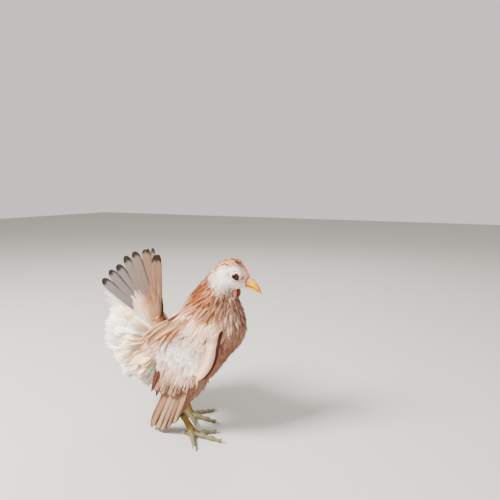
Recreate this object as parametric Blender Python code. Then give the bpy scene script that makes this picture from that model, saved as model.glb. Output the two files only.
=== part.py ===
"""A young serama hen, life size, standing with her tail fan upright and her wings hanging to the floor.

The hen faces +X, with +Y on her left and +Z up, and the floor is the plane Z = 0. Every number is a
real size in millimetres, which point() turns into metres. Pairs are made once with a side sign, so
right is -1 and left is +1.
"""

import math
import random

import bmesh
import bpy
from mathutils import Vector

MM = 0.001
GAP = 0.3
SIDES = (("right", -1), ("left", 1))

# Body sections from rump to bill: back x, z, then front x, z, then half width.
BODY_ROWS = (
    (-47, 80, -28, 51, 15),
    (-46, 90, -10, 45, 21),
    (-42, 97, 6, 50, 25),
    (-36, 101.5, 18, 61, 27.5),
    (-29, 106, 28, 74.5, 28.5),
    (-22.5, 112, 38.5, 86, 28),
    (-16, 120.5, 46, 97, 25.5),
    (-9.5, 131, 48.5, 111, 20.5),
    (-1.5, 142, 45, 126.5, 15),
    (6.5, 150, 39.5, 137.5, 12),
    (13.5, 157.5, 38.5, 140, 11.6),
    (21, 165, 40, 141, 12.1),
    (29.5, 170, 42, 142, 12.4),
    (38, 171.3, 44, 142.6, 12),
    (45.5, 168.7, 46.5, 143.2, 10.6),
    (51, 163.4, 49.3, 143.8, 7.8),
    (54, 157, 51.5, 144.3, 5.2),
)
RUMP_POLE = (-45, 63)
TORSO_END, NECK_END = 6, 9
HEAD_END = len(BODY_ROWS) - 1
TORSO_RINGS, NECK_RINGS, HEAD_RINGS, BODY_SIDES = 11, 7, 11, 24

EYE_CENTRE = (44.6, 8.0, 155.8)
EYE_RADIUS = 4.1
LID_RADIUS, LID_THICKNESS, LID_OUTWARD, LID_TURN = 3.7, 1.0, 1.9, 14
MOUTH_CORNER, MOUTH_END, MOUTH_HEIGHT = (46.6, 146.4), 54, 0.5
MOUTH_INNER, MOUTH_OUTER = 4.8, 12

# Upper and lower bill: x of each section, its top z, bottom z and half width.
UPPER_BILL = (
    (52.4, 155.4, 146.4, 4.9),
    (56.3, 153.2, 145.6, 4.2),
    (59.8, 150.4, 144.4, 3.2),
    (62.8, 146.8, 142.8, 2.1),
    (64.7, 143.0, 140.9, 1.1),
    (65.5, 140.6, 139.7, 0.5),
)
LOWER_BILL = (
    (51.6, 146.2, 142.9, 4.2),
    (55.5, 145.5, 142.3, 3.5),
    (59.2, 144.2, 141.7, 2.5),
    (61.8, 142.6, 140.9, 1.4),
    (63.0, 141.4, 140.5, 0.6),
)
NOSTRIL_PLACE, NOSTRIL_HALF = (55.6, 3.9, 150.6), (1.5, 0.7, 0.6)

COMB_BASE = ((46.5, 167.4), (51.6, 163), (54.8, 156.6))
COMB_POINTS = 5
COMB_HEIGHT, COMB_ROOT, COMB_HALF_THICKNESS, COMB_NOTCH = 2.6, 2.5, 0.9, 0.62
# Wattle rings: drop below the top, half length and half thickness.
WATTLE_TOP = (41.4, 5.6, 142.4)
WATTLE_ROWS = ((0, 2.2, 0.9), (3, 2.7, 1.1), (6, 2.2, 1.0), (8, 0.9, 0.6))

# Thigh rings: x, z and y of the middle, then half size along and across.
THIGH_ROWS = (
    (4, 66, 15, 17, 11),
    (0.5, 54, 15.6, 13.5, 10.5),
    (-4, 43, 16.3, 10, 9),
    (-8.5, 33, 16.8, 6.8, 6.6),
    (-11, 25, 17, 4.8, 4.8),
    (-12, 19.5, 17, 3.9, 3.9),
)
THIGH_TILT = (0.9, 0, -0.44)
HOCK, FOOT_JOINT = (-14.6, 17, 25), (0, 16.2, 5)
HIP_HEIGHT = 66
HIP_SHIFT = {"right": 0, "left": -6}
FOOT_SHIFT = {"right": 0, "left": -25}
SHANK_RADII = (3.9, 3.6, 3.0, 2.6, 2.6, 2.9, 3.3)
SHANK_SCUTES, SCUTE_RISE, SHANK_WIDTH_SHARE = 9, 0.35, 0.85
PAD_ROWS = ((0, 3.6), (1.2, 4.4), (3.4, 4.3), (5.6, 3.4))

# Toes: name, heading from straight ahead (outward positive), length, base and end radius, claw.
TOES = (
    ("middle", -2, 30, 2.5, 1.7, 6.4),
    ("inner", -38, 21, 2.2, 1.6, 5.2),
    ("outer", 50, 24, 2.3, 1.6, 5.2),
    ("hind", 172, 5, 1.9, 1.5, 4.2),
)
TOE_START, TOE_PLATES, TOE_SIDES, TOE_HEIGHT_SHARE = 2.2, 4, 8, 1.7
CLAW_BEND, CLAW_ROWS, CLAW_SIDES = 0.9, ((0, 0.8), (0.35, 0.68), (0.7, 0.5), (1, 0.28)), 6
CLAW_START_HEIGHT, CLAW_DROP = 2.0, 1.5

# Feather vanes: share of the length from the root, and share of the full width there.
LONG_VANE = ((0, 0.42), (0.35, 0.8), (0.8, 1), (0.95, 0.7), (1, 0.28))
SHORT_VANE = ((0, 0.5), (0.5, 0.95), (0.86, 0.92), (1, 0.36))
SHAFT_THICKNESS, EDGE_THICKNESS, TIP_THICKNESS = 0.75, 0.55, 0.5

# The wing's outer surface: its distance from the middle plane, and how it curves in.
WING_OUT, WING_BEND_AHEAD, WING_BEND_BEHIND, WING_BEND_ABOVE = 31.5, 0.0072, 0.0006, 0.017
WING_MIDDLE, WING_SHOULDER_HEIGHT = 2, 92
# Wing pad sections: leading x, z, trailing x, z and thickness.
WING_PAD = (
    (19, 118, 0, 117.5, 6),
    (31, 110, -10, 107, 12),
    (35.5, 99, -17, 94, 13),
    (34.5, 86, -22, 80, 11),
    (29, 73, -25, 67, 7),
    (18, 63, -27, 56, 3.4),
    (4, 57, -24, 50, 1.6),
)
PAD_RINGS, PAD_ACROSS, PAD_EDGE_DROP, PAD_EDGE_THICKNESS = 10, 6, 1.2, 0.7
# Wing tiers: how many, first and last tip, first and last root, half widths, lift off the pad, tilt.
PRIMARIES = (6, (-15, 14.5), (-41, 4.5), (5, 62), (-12, 60), (5.6, 4.6), (-3.9, -3.9), 0.16)
SECONDARIES = (8, (9, 55), (-37, 33), (20, 72), (-18, 68), (5.8, 5.6), (-1.4, -1.4), 0.15)
GREATER_COVERTS = (6, (14, 64), (-26, 60), (26, 86), (-14, 88), (5.8, 5.8), (-1.2, 1.3), 0.13)
LESSER_COVERTS = (4, (24, 82), (-17, 84), (31, 102), (-8, 105), (6.2, 6.2), (-1.2, 3.4), 0.1)
WRIST_FEATHERS = (3, (17.5, 62), (27, 74), (35, 96), (32, 103), (5.4, 4.2), (-1.0, 3.4), 0.12)
SCAPULARS = (4, (-27, 91), (-44, 85.5), (9, 114), (0, 114), (3.6, 3.2), (-1.0, 4.6), 0.2)
TIP_SAG = {"primaries": 7, "secondaries": 3}
# How each wing is swung back about its shoulder, in degrees, and then set back.
WING_SHOULDER = (20, 110)
WING_SWING = {"right": 0, "left": 14}
WING_SHIFT = {"right": 0, "left": -8}
SCAPULAR_SWING = 0.35

# Tail feathers on one side, front to back: tip x and z. Each stands further out, and the last is short.
TAIL_TIPS = (
    (-48, 169.5), (-59, 174.5), (-70, 171), (-79, 166), (-87, 159), (-93.5, 152), (-101, 142.5), (-97, 131),
)
TAIL_ROOT, TAIL_ROOT_OUT = (-47, 93), 1.2
TAIL_FIRST_OUT, TAIL_STEP_OUT = 2.6, 3.2
TAIL_HALF_WIDTH, TAIL_ROLL = 7.6, 0.36
TAIL_SCATTER = 0.8
TAIL_COVERTS, COVERT_REACH, COVERT_HALF_WIDTH = 4, 0.53, 6.8
COVERT_START, COVERT_STEP, COVERT_OUT, COVERT_STEP_OUT = 0.5, 1.7, 6.8, 1.6
TAIL_MOUND = ((-48, 0, 95), (8.5, 7.5, 12))
# The tail ends and the rear fluff begins on either side of this sloping plane.
PARTING_POINT, PARTING_ANGLE = (-47, 91.5), 150

FLUFF_CORE = (
    (-40, 96, -30, 55, 21),
    (-52, 99, -42, 52, 21),
    (-64, 96, -55, 55, 17),
    (-74, 90, -68, 62, 11),
)
FLUFF_POLE = (-79, 77)
FLUFF_CENTRE = (-30, 85)
# Reach of the rear fluff from its centre: angle from straight ahead, then radius.
FLUFF_REACH = (
    (150, 78), (160, 82), (170, 84), (179, 84.5), (187, 80),
    (200, 79), (210, 74), (222, 67), (233, 62), (246, 55),
)
# Fluff tiers: spread to the side in degrees, share of the reach, first and last angle, how many.
FLUFF_TIERS = (
    (3, 1.0, 157, 244, 7),
    (10, 0.96, 161, 238, 6),
    (16, 0.86, 156, 234, 5),
    (21, 0.72, 162, 226, 4),
)
FLUFF_HALF_WIDTH, FLUFF_ROOT_SHARE, FLUFF_ROLL = 10.2, 0.42, 0.2
FLUFF_TURN_SCATTER, FLUFF_STAGGER, FLUFF_SHORTEST, FLUFF_BOW = 1.5, 4, 0.97, (0.5, 2)
SEED = 11

COLOURS = {
    "plumage": (0.78, 0.62, 0.47),
    "pale_plumage": (0.82, 0.78, 0.70),
    "tail_feather": (0.62, 0.54, 0.47),
    "skin_red": (0.62, 0.22, 0.18),
    "bill_horn": (0.85, 0.60, 0.18),
    "leg_scale": (0.62, 0.55, 0.24),
    "claw_horn": (0.60, 0.52, 0.42),
    "eye_gloss": (0.06, 0.03, 0.02),
}


def point(x, y, z):
    return Vector((x, y, z)) * MM


def spread(start, end, count):
    return [start + (end - start) * i / (count - 1) for i in range(count)]


def mixed(first, second, share):
    return tuple(a + (b - a) * share for a, b in zip(first, second))


def blended(rows, place):
    """The row at a fractional place, on a smooth curve through the rows."""
    index = min(int(place), len(rows) - 2)
    t = place - index
    before, first = rows[max(index - 1, 0)], rows[index]
    second, after = rows[index + 1], rows[min(index + 2, len(rows) - 1)]
    return [
        0.5 * (2 * b + (c - a) * t + (2 * a - 5 * b + 4 * c - d) * t * t + (3 * b - a - 3 * c + d) * t**3)
        for a, b, c, d in zip(before, first, second, after)
    ]


def between(table, key):
    """The second column of a sorted table at a key in its first column."""
    for (low, low_value), (high, high_value) in zip(table, table[1:]):
        if key <= high:
            share = max(0, (key - low) / (high - low))
            return low_value + (high_value - low_value) * share
    return table[-1][1]


def clear_scene():
    for old in list(bpy.data.objects):
        bpy.data.objects.remove(old)


def finish_material(name):
    material = bpy.data.materials.get(name)
    if material is None:
        material = bpy.data.materials.new(name)
        material.use_nodes = True
        shader = material.node_tree.nodes["Principled BSDF"]
        shader.inputs["Base Color"].default_value = (*COLOURS[name], 1)
        shader.inputs["Roughness"].default_value = 0.1 if name == "eye_gloss" else 0.7
    return material


def face_outwards(mesh):
    shape = bmesh.new()
    shape.from_mesh(mesh)
    bmesh.ops.recalc_face_normals(shape, faces=shape.faces)
    if shape.calc_volume(signed=True) < 0:
        bmesh.ops.reverse_faces(shape, faces=shape.faces)
    shape.to_mesh(mesh)
    shape.free()


def mesh_object(name, corners, faces, finish):
    mesh = bpy.data.meshes.new(name)
    mesh.from_pydata([tuple(c) for c in corners], [], faces)
    face_outwards(mesh)
    mesh.materials.append(finish_material(finish))
    made = bpy.data.objects.new(name, mesh)
    bpy.context.scene.collection.objects.link(made)
    return made


def loft(name, rings, finish, pole=None):
    """A closed tube through rings with equal numbers of points. It starts at a pole or a flat cap."""
    sides = len(rings[0])
    corners = [corner for ring in rings for corner in ring]
    faces = []
    for row in range(len(rings) - 1):
        low, high = row * sides, (row + 1) * sides
        for i in range(sides):
            j = (i + 1) % sides
            faces.append((low + i, low + j, high + j, high + i))
    if pole is None:
        faces.append(tuple(reversed(range(sides))))
    else:
        corners.append(pole)
        faces += [((i + 1) % sides, i, len(corners) - 1) for i in range(sides)]
    last = (len(rings) - 1) * sides
    faces.append(tuple(range(last, last + sides)))
    return mesh_object(name, corners, faces, finish)


def oval(centre, up, across, sides):
    """Points round an oval whose half axes are the vectors up and across."""
    turns = [2 * math.pi * i / sides for i in range(sides)]
    return [centre + up * math.cos(turn) + across * math.sin(turn) for turn in turns]


def upright_rings(rows, sides):
    """Oval rings across the middle plane, from rows of back x, z, front x, z and half width."""
    rings = []
    for back_x, back_z, front_x, front_z, half_width in rows:
        back, front = point(back_x, 0, back_z), point(front_x, 0, front_z)
        rings.append(oval((back + front) / 2, (back - front) / 2, point(0, half_width, 0), sides))
    return rings


def remove(made):
    bpy.data.objects.remove(made)


def smooth(target, angle=40):
    target.data.shade_smooth()
    target.data.set_sharp_from_angle(angle=math.radians(angle))


def boolean(target, other, operation):
    cut = target.modifiers.new("cut", "BOOLEAN")
    cut.operation, cut.solver = operation, "MANIFOLD"
    if isinstance(other, bpy.types.Collection):
        cut.operand_type, cut.collection = "COLLECTION", other
    else:
        cut.object = other
    graph = bpy.context.evaluated_depsgraph_get()
    mesh = bpy.data.meshes.new_from_object(target.evaluated_get(graph))
    target.modifiers.clear()
    target.data = mesh


def join_all(target, pieces):
    """One union of the target with all of its loose pieces, which are then removed."""
    group = bpy.data.collections.new("pieces")
    for piece in pieces:
        group.objects.link(piece)
    boolean(target, group, "UNION")
    for piece in pieces:
        remove(piece)
    bpy.data.collections.remove(group)


def grown(source, amount):
    """A copy of a solid with its surface moved outwards, used to cut a clear gap in a neighbour."""
    copy = source.copy()
    copy.data = source.data.copy()
    bpy.context.scene.collection.objects.link(copy)
    moved = [v.co + v.normal * amount * MM for v in copy.data.vertices]
    for vertex, place in zip(copy.data.vertices, moved):
        vertex.co = place
    copy.data.update()
    return copy


def cut_clear(target, neighbours):
    for neighbour in neighbours:
        cutter = grown(neighbour, GAP * 1.2)
        boolean(target, cutter, "DIFFERENCE")
        remove(cutter)
    keep_largest(target)


def shells_of(shape):
    """The mesh's separate surfaces, each as a set of its vertices."""
    unseen = set(shape.verts)
    shells = []
    while unseen:
        frontier = [unseen.pop()]
        shell = set(frontier)
        while frontier:
            vertex = frontier.pop()
            for link in vertex.link_edges:
                other = link.other_vert(vertex)
                if other in unseen:
                    unseen.discard(other)
                    shell.add(other)
                    frontier.append(other)
        shells.append(shell)
    return shells


def shell_volume(shell):
    total = 0
    for face in {face for vertex in shell for face in vertex.link_faces}:
        corners = [v.co for v in face.verts]
        for second, third in zip(corners[1:], corners[2:]):
            total += corners[0].dot(second.cross(third)) / 6
    return total


def keep_largest(target):
    """Leaves only the closed surface with the most volume, and drops loose scraps."""
    shape = bmesh.new()
    shape.from_mesh(target.data)
    shells = sorted(shells_of(shape), key=shell_volume)
    loose = [vertex for shell in shells[:-1] for vertex in shell]
    bmesh.ops.delete(shape, geom=loose, context="VERTS")
    shape.to_mesh(target.data)
    shape.free()


def merge_flat(target, angle=1.5):
    """Joins neighbouring faces that lie flat, of which a union leaves many."""
    shape = bmesh.new()
    shape.from_mesh(target.data)
    bmesh.ops.dissolve_limit(shape, angle_limit=math.radians(angle), verts=shape.verts, edges=shape.edges)
    shape.to_mesh(target.data)
    shape.free()


def vane(place, profile, finish="pale_plumage"):
    """A thin feather blade. place(share, side, face) gives each corner: side is -1, 0 or 1 across the
    blade, and face is 1 on its outer and -1 on its inner face. Both faces are split alike."""
    corners, faces = [], []
    for share, _ in profile:
        corners += [place(share, side, 1) for side in (-1, 0, 1)]
        corners += [place(share, side, -1) for side in (-1, 0, 1)]
    for row in range(len(profile) - 1):
        for side in (0, 1):
            a, b = row * 6 + side, row * 6 + side + 1
            c, d = b + 6, a + 6
            faces += [(a, b, c), (a, c, d), (a + 3, c + 3, b + 3), (a + 3, d + 3, c + 3)]
        for edge in (0, 2):
            a, b = row * 6 + edge, row * 6 + edge + 3
            faces += [(a, a + 6, b), (a + 6, b + 6, b)]
    for row in (0, len(profile) - 1):
        a = row * 6
        faces += [(a, a + 3, a + 1), (a + 1, a + 3, a + 4), (a + 1, a + 4, a + 2), (a + 2, a + 4, a + 5)]
    return mesh_object("vane", corners, faces, finish)


def blade_thickness(share, side):
    edge = EDGE_THICKNESS if side else SHAFT_THICKNESS
    return edge + (TIP_THICKNESS - edge) * share**2


def fan_vane(root, tip, side_way, half_width, profile, bow=0.0, finish="pale_plumage"):
    """A feather from root to tip, whose blade lies along side_way. It bows away from its chord by bow."""
    along = tip - root
    side_way = (side_way - along * side_way.dot(along) / along.length_squared).normalized()
    normal = side_way.cross(along).normalized()
    widths = dict(profile)

    def place(share, side, face):
        middle = root + along * share + normal * bow * math.sin(math.pi * share) * MM
        lift = face * blade_thickness(share, side) / 2 - 0.3 * abs(side)
        return middle + side_way * side * widths[share] * half_width * MM + normal * lift * MM

    return vane(place, profile, finish)


def torso_neck_head():
    def body_section(place, shift=0):
        back_x, back_z, front_x, front_z, half_width = blended(BODY_ROWS, place)
        back, front = point(back_x, 0, back_z), point(front_x, 0, front_z)
        up = (back - front) / 2
        ahead = Vector((up.z, 0, -up.x)).normalized() * shift * MM
        return oval((back + front) / 2 + ahead, up, point(0, half_width, 0), BODY_SIDES)

    def length(name, start, end, count, finish, pole=None):
        places = spread(start, end, count)
        shift = GAP if pole is None else 0
        rings = [body_section(places[0], shift)] + [body_section(place) for place in places[1:]]
        made = loft(name, rings, finish, pole)
        smooth(made)
        return made

    torso = length("torso", 0, TORSO_END, TORSO_RINGS, "plumage", point(RUMP_POLE[0], 0, RUMP_POLE[1]))
    neck = length("neck", TORSO_END, NECK_END, NECK_RINGS, "plumage")
    head = length("head", NECK_END, HEAD_END, HEAD_RINGS, "pale_plumage")
    return torso, neck, head


def ball(name, centre, radii, finish, rings=7, sides=12):
    bpy.ops.mesh.primitive_uv_sphere_add(segments=sides, ring_count=rings, radius=1)
    made = bpy.context.object
    made.name = made.data.name = name
    made.data.materials.append(finish_material(finish))
    for vertex in made.data.vertices:
        vertex.co = point(*(c + r * v for c, r, v in zip(centre, radii, vertex.co)))
    return made


def eyes_and_lids(head):
    for side, sign in SIDES:
        x, y, z = EYE_CENTRE[0], sign * EYE_CENTRE[1], EYE_CENTRE[2]
        bpy.ops.mesh.primitive_torus_add(
            major_radius=LID_RADIUS * MM,
            minor_radius=LID_THICKNESS * MM,
            major_segments=16,
            minor_segments=6,
            location=point(x, y + sign * LID_OUTWARD, z),
            rotation=(math.radians(90), 0, math.radians(-sign * LID_TURN)),
        )
        lids = bpy.context.object
        boolean(head, lids, "UNION")
        remove(lids)
        socket = ball("socket", (x, y, z), (EYE_RADIUS + GAP,) * 3, "eye_gloss")
        boolean(head, socket, "DIFFERENCE")
        remove(socket)
        smooth(ball(f"eye_{side}", (x, y, z), (EYE_RADIUS,) * 3, "eye_gloss"))


def mouth_line(head):
    """A narrow slot on each side of the head, from the bill back to the corner of the mouth."""
    for _, sign in SIDES:
        x, z = MOUTH_CORNER
        size = (MOUTH_END - x, MOUTH_OUTER - MOUTH_INNER, MOUTH_HEIGHT)
        bpy.ops.mesh.primitive_cube_add(size=1)
        slot = bpy.context.object
        slot.scale = Vector(size) * MM
        slot.location = point(x + size[0] / 2, sign * (MOUTH_INNER + size[1] / 2), z)
        boolean(head, slot, "DIFFERENCE")
        remove(slot)
    keep_largest(head)
    smooth(head)


def bill(head):
    halves = []
    for name, rows in (("bill_upper", UPPER_BILL), ("bill_lower", LOWER_BILL)):
        rings = [
            oval(point(x, 0, (top + low) / 2), point(0, 0, (top - low) / 2), point(0, half_width, 0), 12)
            for x, top, low, half_width in rows
        ]
        halves.append(loft(name, rings, "bill_horn"))
    upper, lower = halves
    for _, sign in SIDES:
        x, y, z = NOSTRIL_PLACE
        nostril = ball("nostril", (x, sign * y, z), NOSTRIL_HALF, "bill_horn", 5, 8)
        boolean(upper, nostril, "DIFFERENCE")
        remove(nostril)
    cut_clear(upper, [head])
    cut_clear(lower, [head, upper])
    for half in halves:
        smooth(half)
    return lower


def comb(head):
    """A low single comb: a thin blade along the forehead with a row of small points."""
    low, top = [], []
    steps = COMB_POINTS * 2
    for i in range(steps + 1):
        x, z = blended(COMB_BASE, 2 * i / steps)
        lean = math.radians(60 - 35 * i / steps)
        out = Vector((math.cos(lean), 0, math.sin(lean)))
        rise = COMB_HEIGHT * (0.5 + 0.5 * math.sin(math.pi * i / steps)) * (1 if i % 2 else COMB_NOTCH)
        low.append(point(x, 0, z) - out * COMB_ROOT * MM)
        top.append(point(x, 0, z) + out * rise * MM)
    outline = low + top[::-1]
    thick = point(0, COMB_HALF_THICKNESS, 0)
    count = len(outline)
    corners = [c - thick for c in outline] + [c + thick for c in outline]
    faces = []
    for i in range(steps):
        a, b, c, d = i, i + 1, count - 2 - i, count - 1 - i
        faces += [(a, b, c, d), (a + count, d + count, c + count, b + count)]
    faces += [(i, (i + 1) % count, (i + 1) % count + count, i + count) for i in range(count)]
    cut_clear(mesh_object("comb", corners, faces, "skin_red"), [head])


def wattles(neighbours):
    for side, sign in SIDES:
        rings = []
        for drop, half_length, half_thick in WATTLE_ROWS:
            middle = point(WATTLE_TOP[0], sign * WATTLE_TOP[1], WATTLE_TOP[2] - drop)
            rings.append(oval(middle, point(half_length, 0, 0), point(0, half_thick, 0), 10))
        lobe = loft(f"wattle_{side}", rings, "skin_red")
        cut_clear(lobe, neighbours)
        smooth(lobe)


def stepped_back(side, height):
    """How far a leg stands from the right one at a height, as it is set further back at the foot."""
    share = min(height / HIP_HEIGHT, 1)
    return FOOT_SHIFT[side] + (HIP_SHIFT[side] - FOOT_SHIFT[side]) * share


def plated_ring(middle, front, across, sides, rise):
    """An oval ring that stands out by rise on its front half, for the edge of a leg scale."""
    ring = []
    for i in range(sides):
        turn = 2 * math.pi * i / sides
        lift = 1 + rise * max(0, math.cos(turn))
        ring.append(middle + front * math.cos(turn) * lift + across * math.sin(turn))
    return ring


def legs():
    thighs = []
    for side, sign in SIDES:
        rings = []
        for x, z, y, along, across in THIGH_ROWS:
            middle = point(x + stepped_back(side, z), sign * y, z)
            rings.append(oval(middle, Vector(THIGH_TILT) * along * MM, point(0, across, 0), 14))
        thigh = loft(f"thigh_{side}", rings, "plumage")
        smooth(thigh)
        thighs.append(thigh)
        shank = scaly_shank(side, sign)
        cut_clear(shank, [thigh])
        foot(side, sign, shank)
        smooth(shank)
    return thighs


def scaly_shank(side, sign):
    hock = point(HOCK[0] + stepped_back(side, HOCK[2]), sign * HOCK[1], HOCK[2])
    joint = point(FOOT_JOINT[0] + FOOT_SHIFT[side], sign * FOOT_JOINT[1], FOOT_JOINT[2])
    down = (joint - hock).normalized()
    across = Vector((0, 1, 0))
    front = across.cross(down).normalized()
    rings = []
    for plate in range(SHANK_SCUTES):
        for share, rise in ((0.02, 0), (0.9, 1)):
            place = (plate + share) / SHANK_SCUTES
            radius = blended([(r,) for r in SHANK_RADII], place * (len(SHANK_RADII) - 1))[0]
            middle = hock.lerp(joint, place)
            wide = across * radius * SHANK_WIDTH_SHARE * MM
            rings.append(plated_ring(middle, front * radius * MM, wide, 10, rise * SCUTE_RISE / radius))
    shank = loft(f"shank_{side}", rings, "leg_scale")
    pad_rings = [
        oval(Vector((joint.x, joint.y, z * MM)), point(radius, 0, 0), point(0, radius, 0), 12)
        for z, radius in PAD_ROWS
    ]
    join_all(shank, [loft("pad", pad_rings, "leg_scale")])
    return shank


def foot(side, sign, shank):
    joint = point(FOOT_JOINT[0] + FOOT_SHIFT[side], sign * FOOT_JOINT[1], 0)
    laid = [shank]
    for name, heading, length, base, end, claw_length in TOES:
        turn = math.radians(heading) * sign
        along = Vector((math.cos(turn), math.sin(turn), 0))
        start = joint + along * TOE_START * MM
        toe = scaly_toe(f"toe_{name}_{side}", start, along, length, (base, end))
        cut_clear(toe, laid)
        laid.append(toe)
        smooth(toe)
        claw(f"claw_{name}_{side}", start + along * (length + GAP) * MM, along, end, claw_length)


def scaly_toe(name, start, along, length, radii):
    """A toe with a flat sole. Its top steps up and down for the plates along it."""
    across = Vector((-along.y, along.x, 0))
    rings = []
    for plate in range(TOE_PLATES):
        for share, rise in ((0.03, 0), (0.88, SCUTE_RISE)):
            place = (plate + share) / TOE_PLATES
            radius = radii[0] + (radii[1] - radii[0]) * place
            height = radius * TOE_HEIGHT_SHARE + rise
            middle = start + along * length * place * MM
            ring = []
            for i in range(TOE_SIDES):
                turn = 2 * math.pi * (i + 0.5) / TOE_SIDES
                up = min(1, max(0, 0.5 + 0.62 * math.sin(turn)))
                ring.append(middle + across * radius * math.cos(turn) * MM + point(0, 0, up * height))
            rings.append(ring)
    return loft(name, rings, "leg_scale")


def claw(name, start, along, radius, length):
    """A curved cone that arches ahead of its toe and comes down to the floor."""
    across = Vector((-along.y, along.x, 0))
    rings = []
    for share, size in CLAW_ROWS:
        bend = CLAW_BEND * share
        middle = start + along * length * math.sin(bend) / CLAW_BEND * MM
        middle.z = (CLAW_START_HEIGHT - CLAW_DROP * share**2) * MM
        lean = along * -math.sin(bend) + Vector((0, 0, math.cos(bend)))
        wide, high = across * radius * size * MM, lean * radius * size * MM
        rings.append(oval(middle, high, wide, CLAW_SIDES))
    smooth(loft(name, rings, "claw_horn"))


def wing_out(x, z):
    """How far from the middle plane the wing's surface lies over a place on the hen's side."""
    ahead = x - WING_MIDDLE
    bend = WING_BEND_AHEAD if ahead > 0 else WING_BEND_BEHIND
    above = max(0, z - WING_SHOULDER_HEIGHT)
    return WING_OUT - bend * ahead**2 - WING_BEND_ABOVE * above**2


def swung(place, side, share=1.0):
    """A place on the wing, given as x and z, after the wing is swung back about its shoulder."""
    turn = math.radians(WING_SWING[side]) * share
    x, z = place[0] - WING_SHOULDER[0], place[1] - WING_SHOULDER[1]
    ahead = x * math.cos(turn) + z * math.sin(turn) + WING_SHIFT[side] * share
    up = z * math.cos(turn) - x * math.sin(turn)
    return Vector((WING_SHOULDER[0] + ahead, WING_SHOULDER[1] + up))


def wing_pad(side, sign):
    rings = []
    for place in spread(0, len(WING_PAD) - 1, PAD_RINGS):
        lead_x, lead_z, trail_x, trail_z, thickness = blended(WING_PAD, place)
        lead, trail = swung((lead_x, lead_z), side), swung((trail_x, trail_z), side)
        outer, inner = [], []
        for share in spread(0, 1, PAD_ACROSS):
            x, z = lead.lerp(trail, share)
            edge = (2 * share - 1) ** 4
            out = wing_out(x, z) - PAD_EDGE_DROP * edge
            thick = max(PAD_EDGE_THICKNESS, thickness * (1 - 0.8 * edge))
            outer.append(point(x, sign * out, z))
            inner.append(point(x, sign * (out - thick), z))
        rings.append(outer + inner[::-1])
    return loft(f"wing_{side}", rings, "pale_plumage")


def wing_tier(side, sign, tier, sag=0, profile=LONG_VANE, swing=1.0):
    """Feathers that lie on the wing's surface, side by side, with each front edge over the next."""
    count, tip_a, tip_b, root_a, root_b, half_widths, lifts, tilt = tier
    widths = dict(profile)
    pieces = []
    for i in range(count):
        order = i / (count - 1)
        tip_x, tip_z = mixed(tip_a, tip_b, order)
        root = swung(mixed(root_a, root_b, order), side, swing)
        tip = swung((tip_x, tip_z - sag * math.sin(math.pi * order)), side, swing)
        along = tip - root
        side_way = Vector((-along.y, along.x)).normalized()
        if side_way.x < 0:
            side_way = -side_way
        half_width = half_widths[0] + (half_widths[1] - half_widths[0]) * order

        def place(share, edge, face):
            aside = edge * widths[share] * half_width
            x, z = root + along * share + side_way * aside
            lift = lifts[0] + (lifts[1] - lifts[0]) * min(share / 0.35, 1) + tilt * aside
            lift += face * blade_thickness(share, edge) / 2
            return point(x, sign * (wing_out(x, z) + lift), z)

        pieces.append(vane(place, profile))
    return pieces


def wings(neighbours):
    for side, sign in SIDES:
        wing = wing_pad(side, sign)
        pieces = wing_tier(side, sign, PRIMARIES, TIP_SAG["primaries"])
        pieces += wing_tier(side, sign, SECONDARIES, TIP_SAG["secondaries"])
        pieces += wing_tier(side, sign, GREATER_COVERTS, 0, SHORT_VANE)
        pieces += wing_tier(side, sign, LESSER_COVERTS, 0, SHORT_VANE)
        pieces += wing_tier(side, sign, WRIST_FEATHERS)
        pieces += wing_tier(side, sign, SCAPULARS, 0, LONG_VANE, SCAPULAR_SWING)
        join_all(wing, pieces)
        cut_clear(wing, neighbours)
        merge_flat(wing)
        smooth(wing)


def parting_block(above):
    """A large block on one side of the plane that parts the tail from the fluff."""
    turn = math.radians(PARTING_ANGLE)
    along = Vector((math.cos(turn), 0, math.sin(turn)))
    up = Vector((along.z, 0, -along.x))
    reach = 150
    bpy.ops.mesh.primitive_cube_add(size=1)
    block = bpy.context.object
    far = reach if above else -reach
    near = -GAP / 2 if above else GAP / 2
    start = point(PARTING_POINT[0], 0, PARTING_POINT[1])
    for vertex in block.data.vertices:
        height = far if vertex.co.z > 0 else near
        place = start + along * vertex.co.x * 2 * reach * MM + up * height * MM
        vertex.co = place + point(0, vertex.co.y * 2 * reach, 0)
    face_outwards(block.data)
    return block


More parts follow.
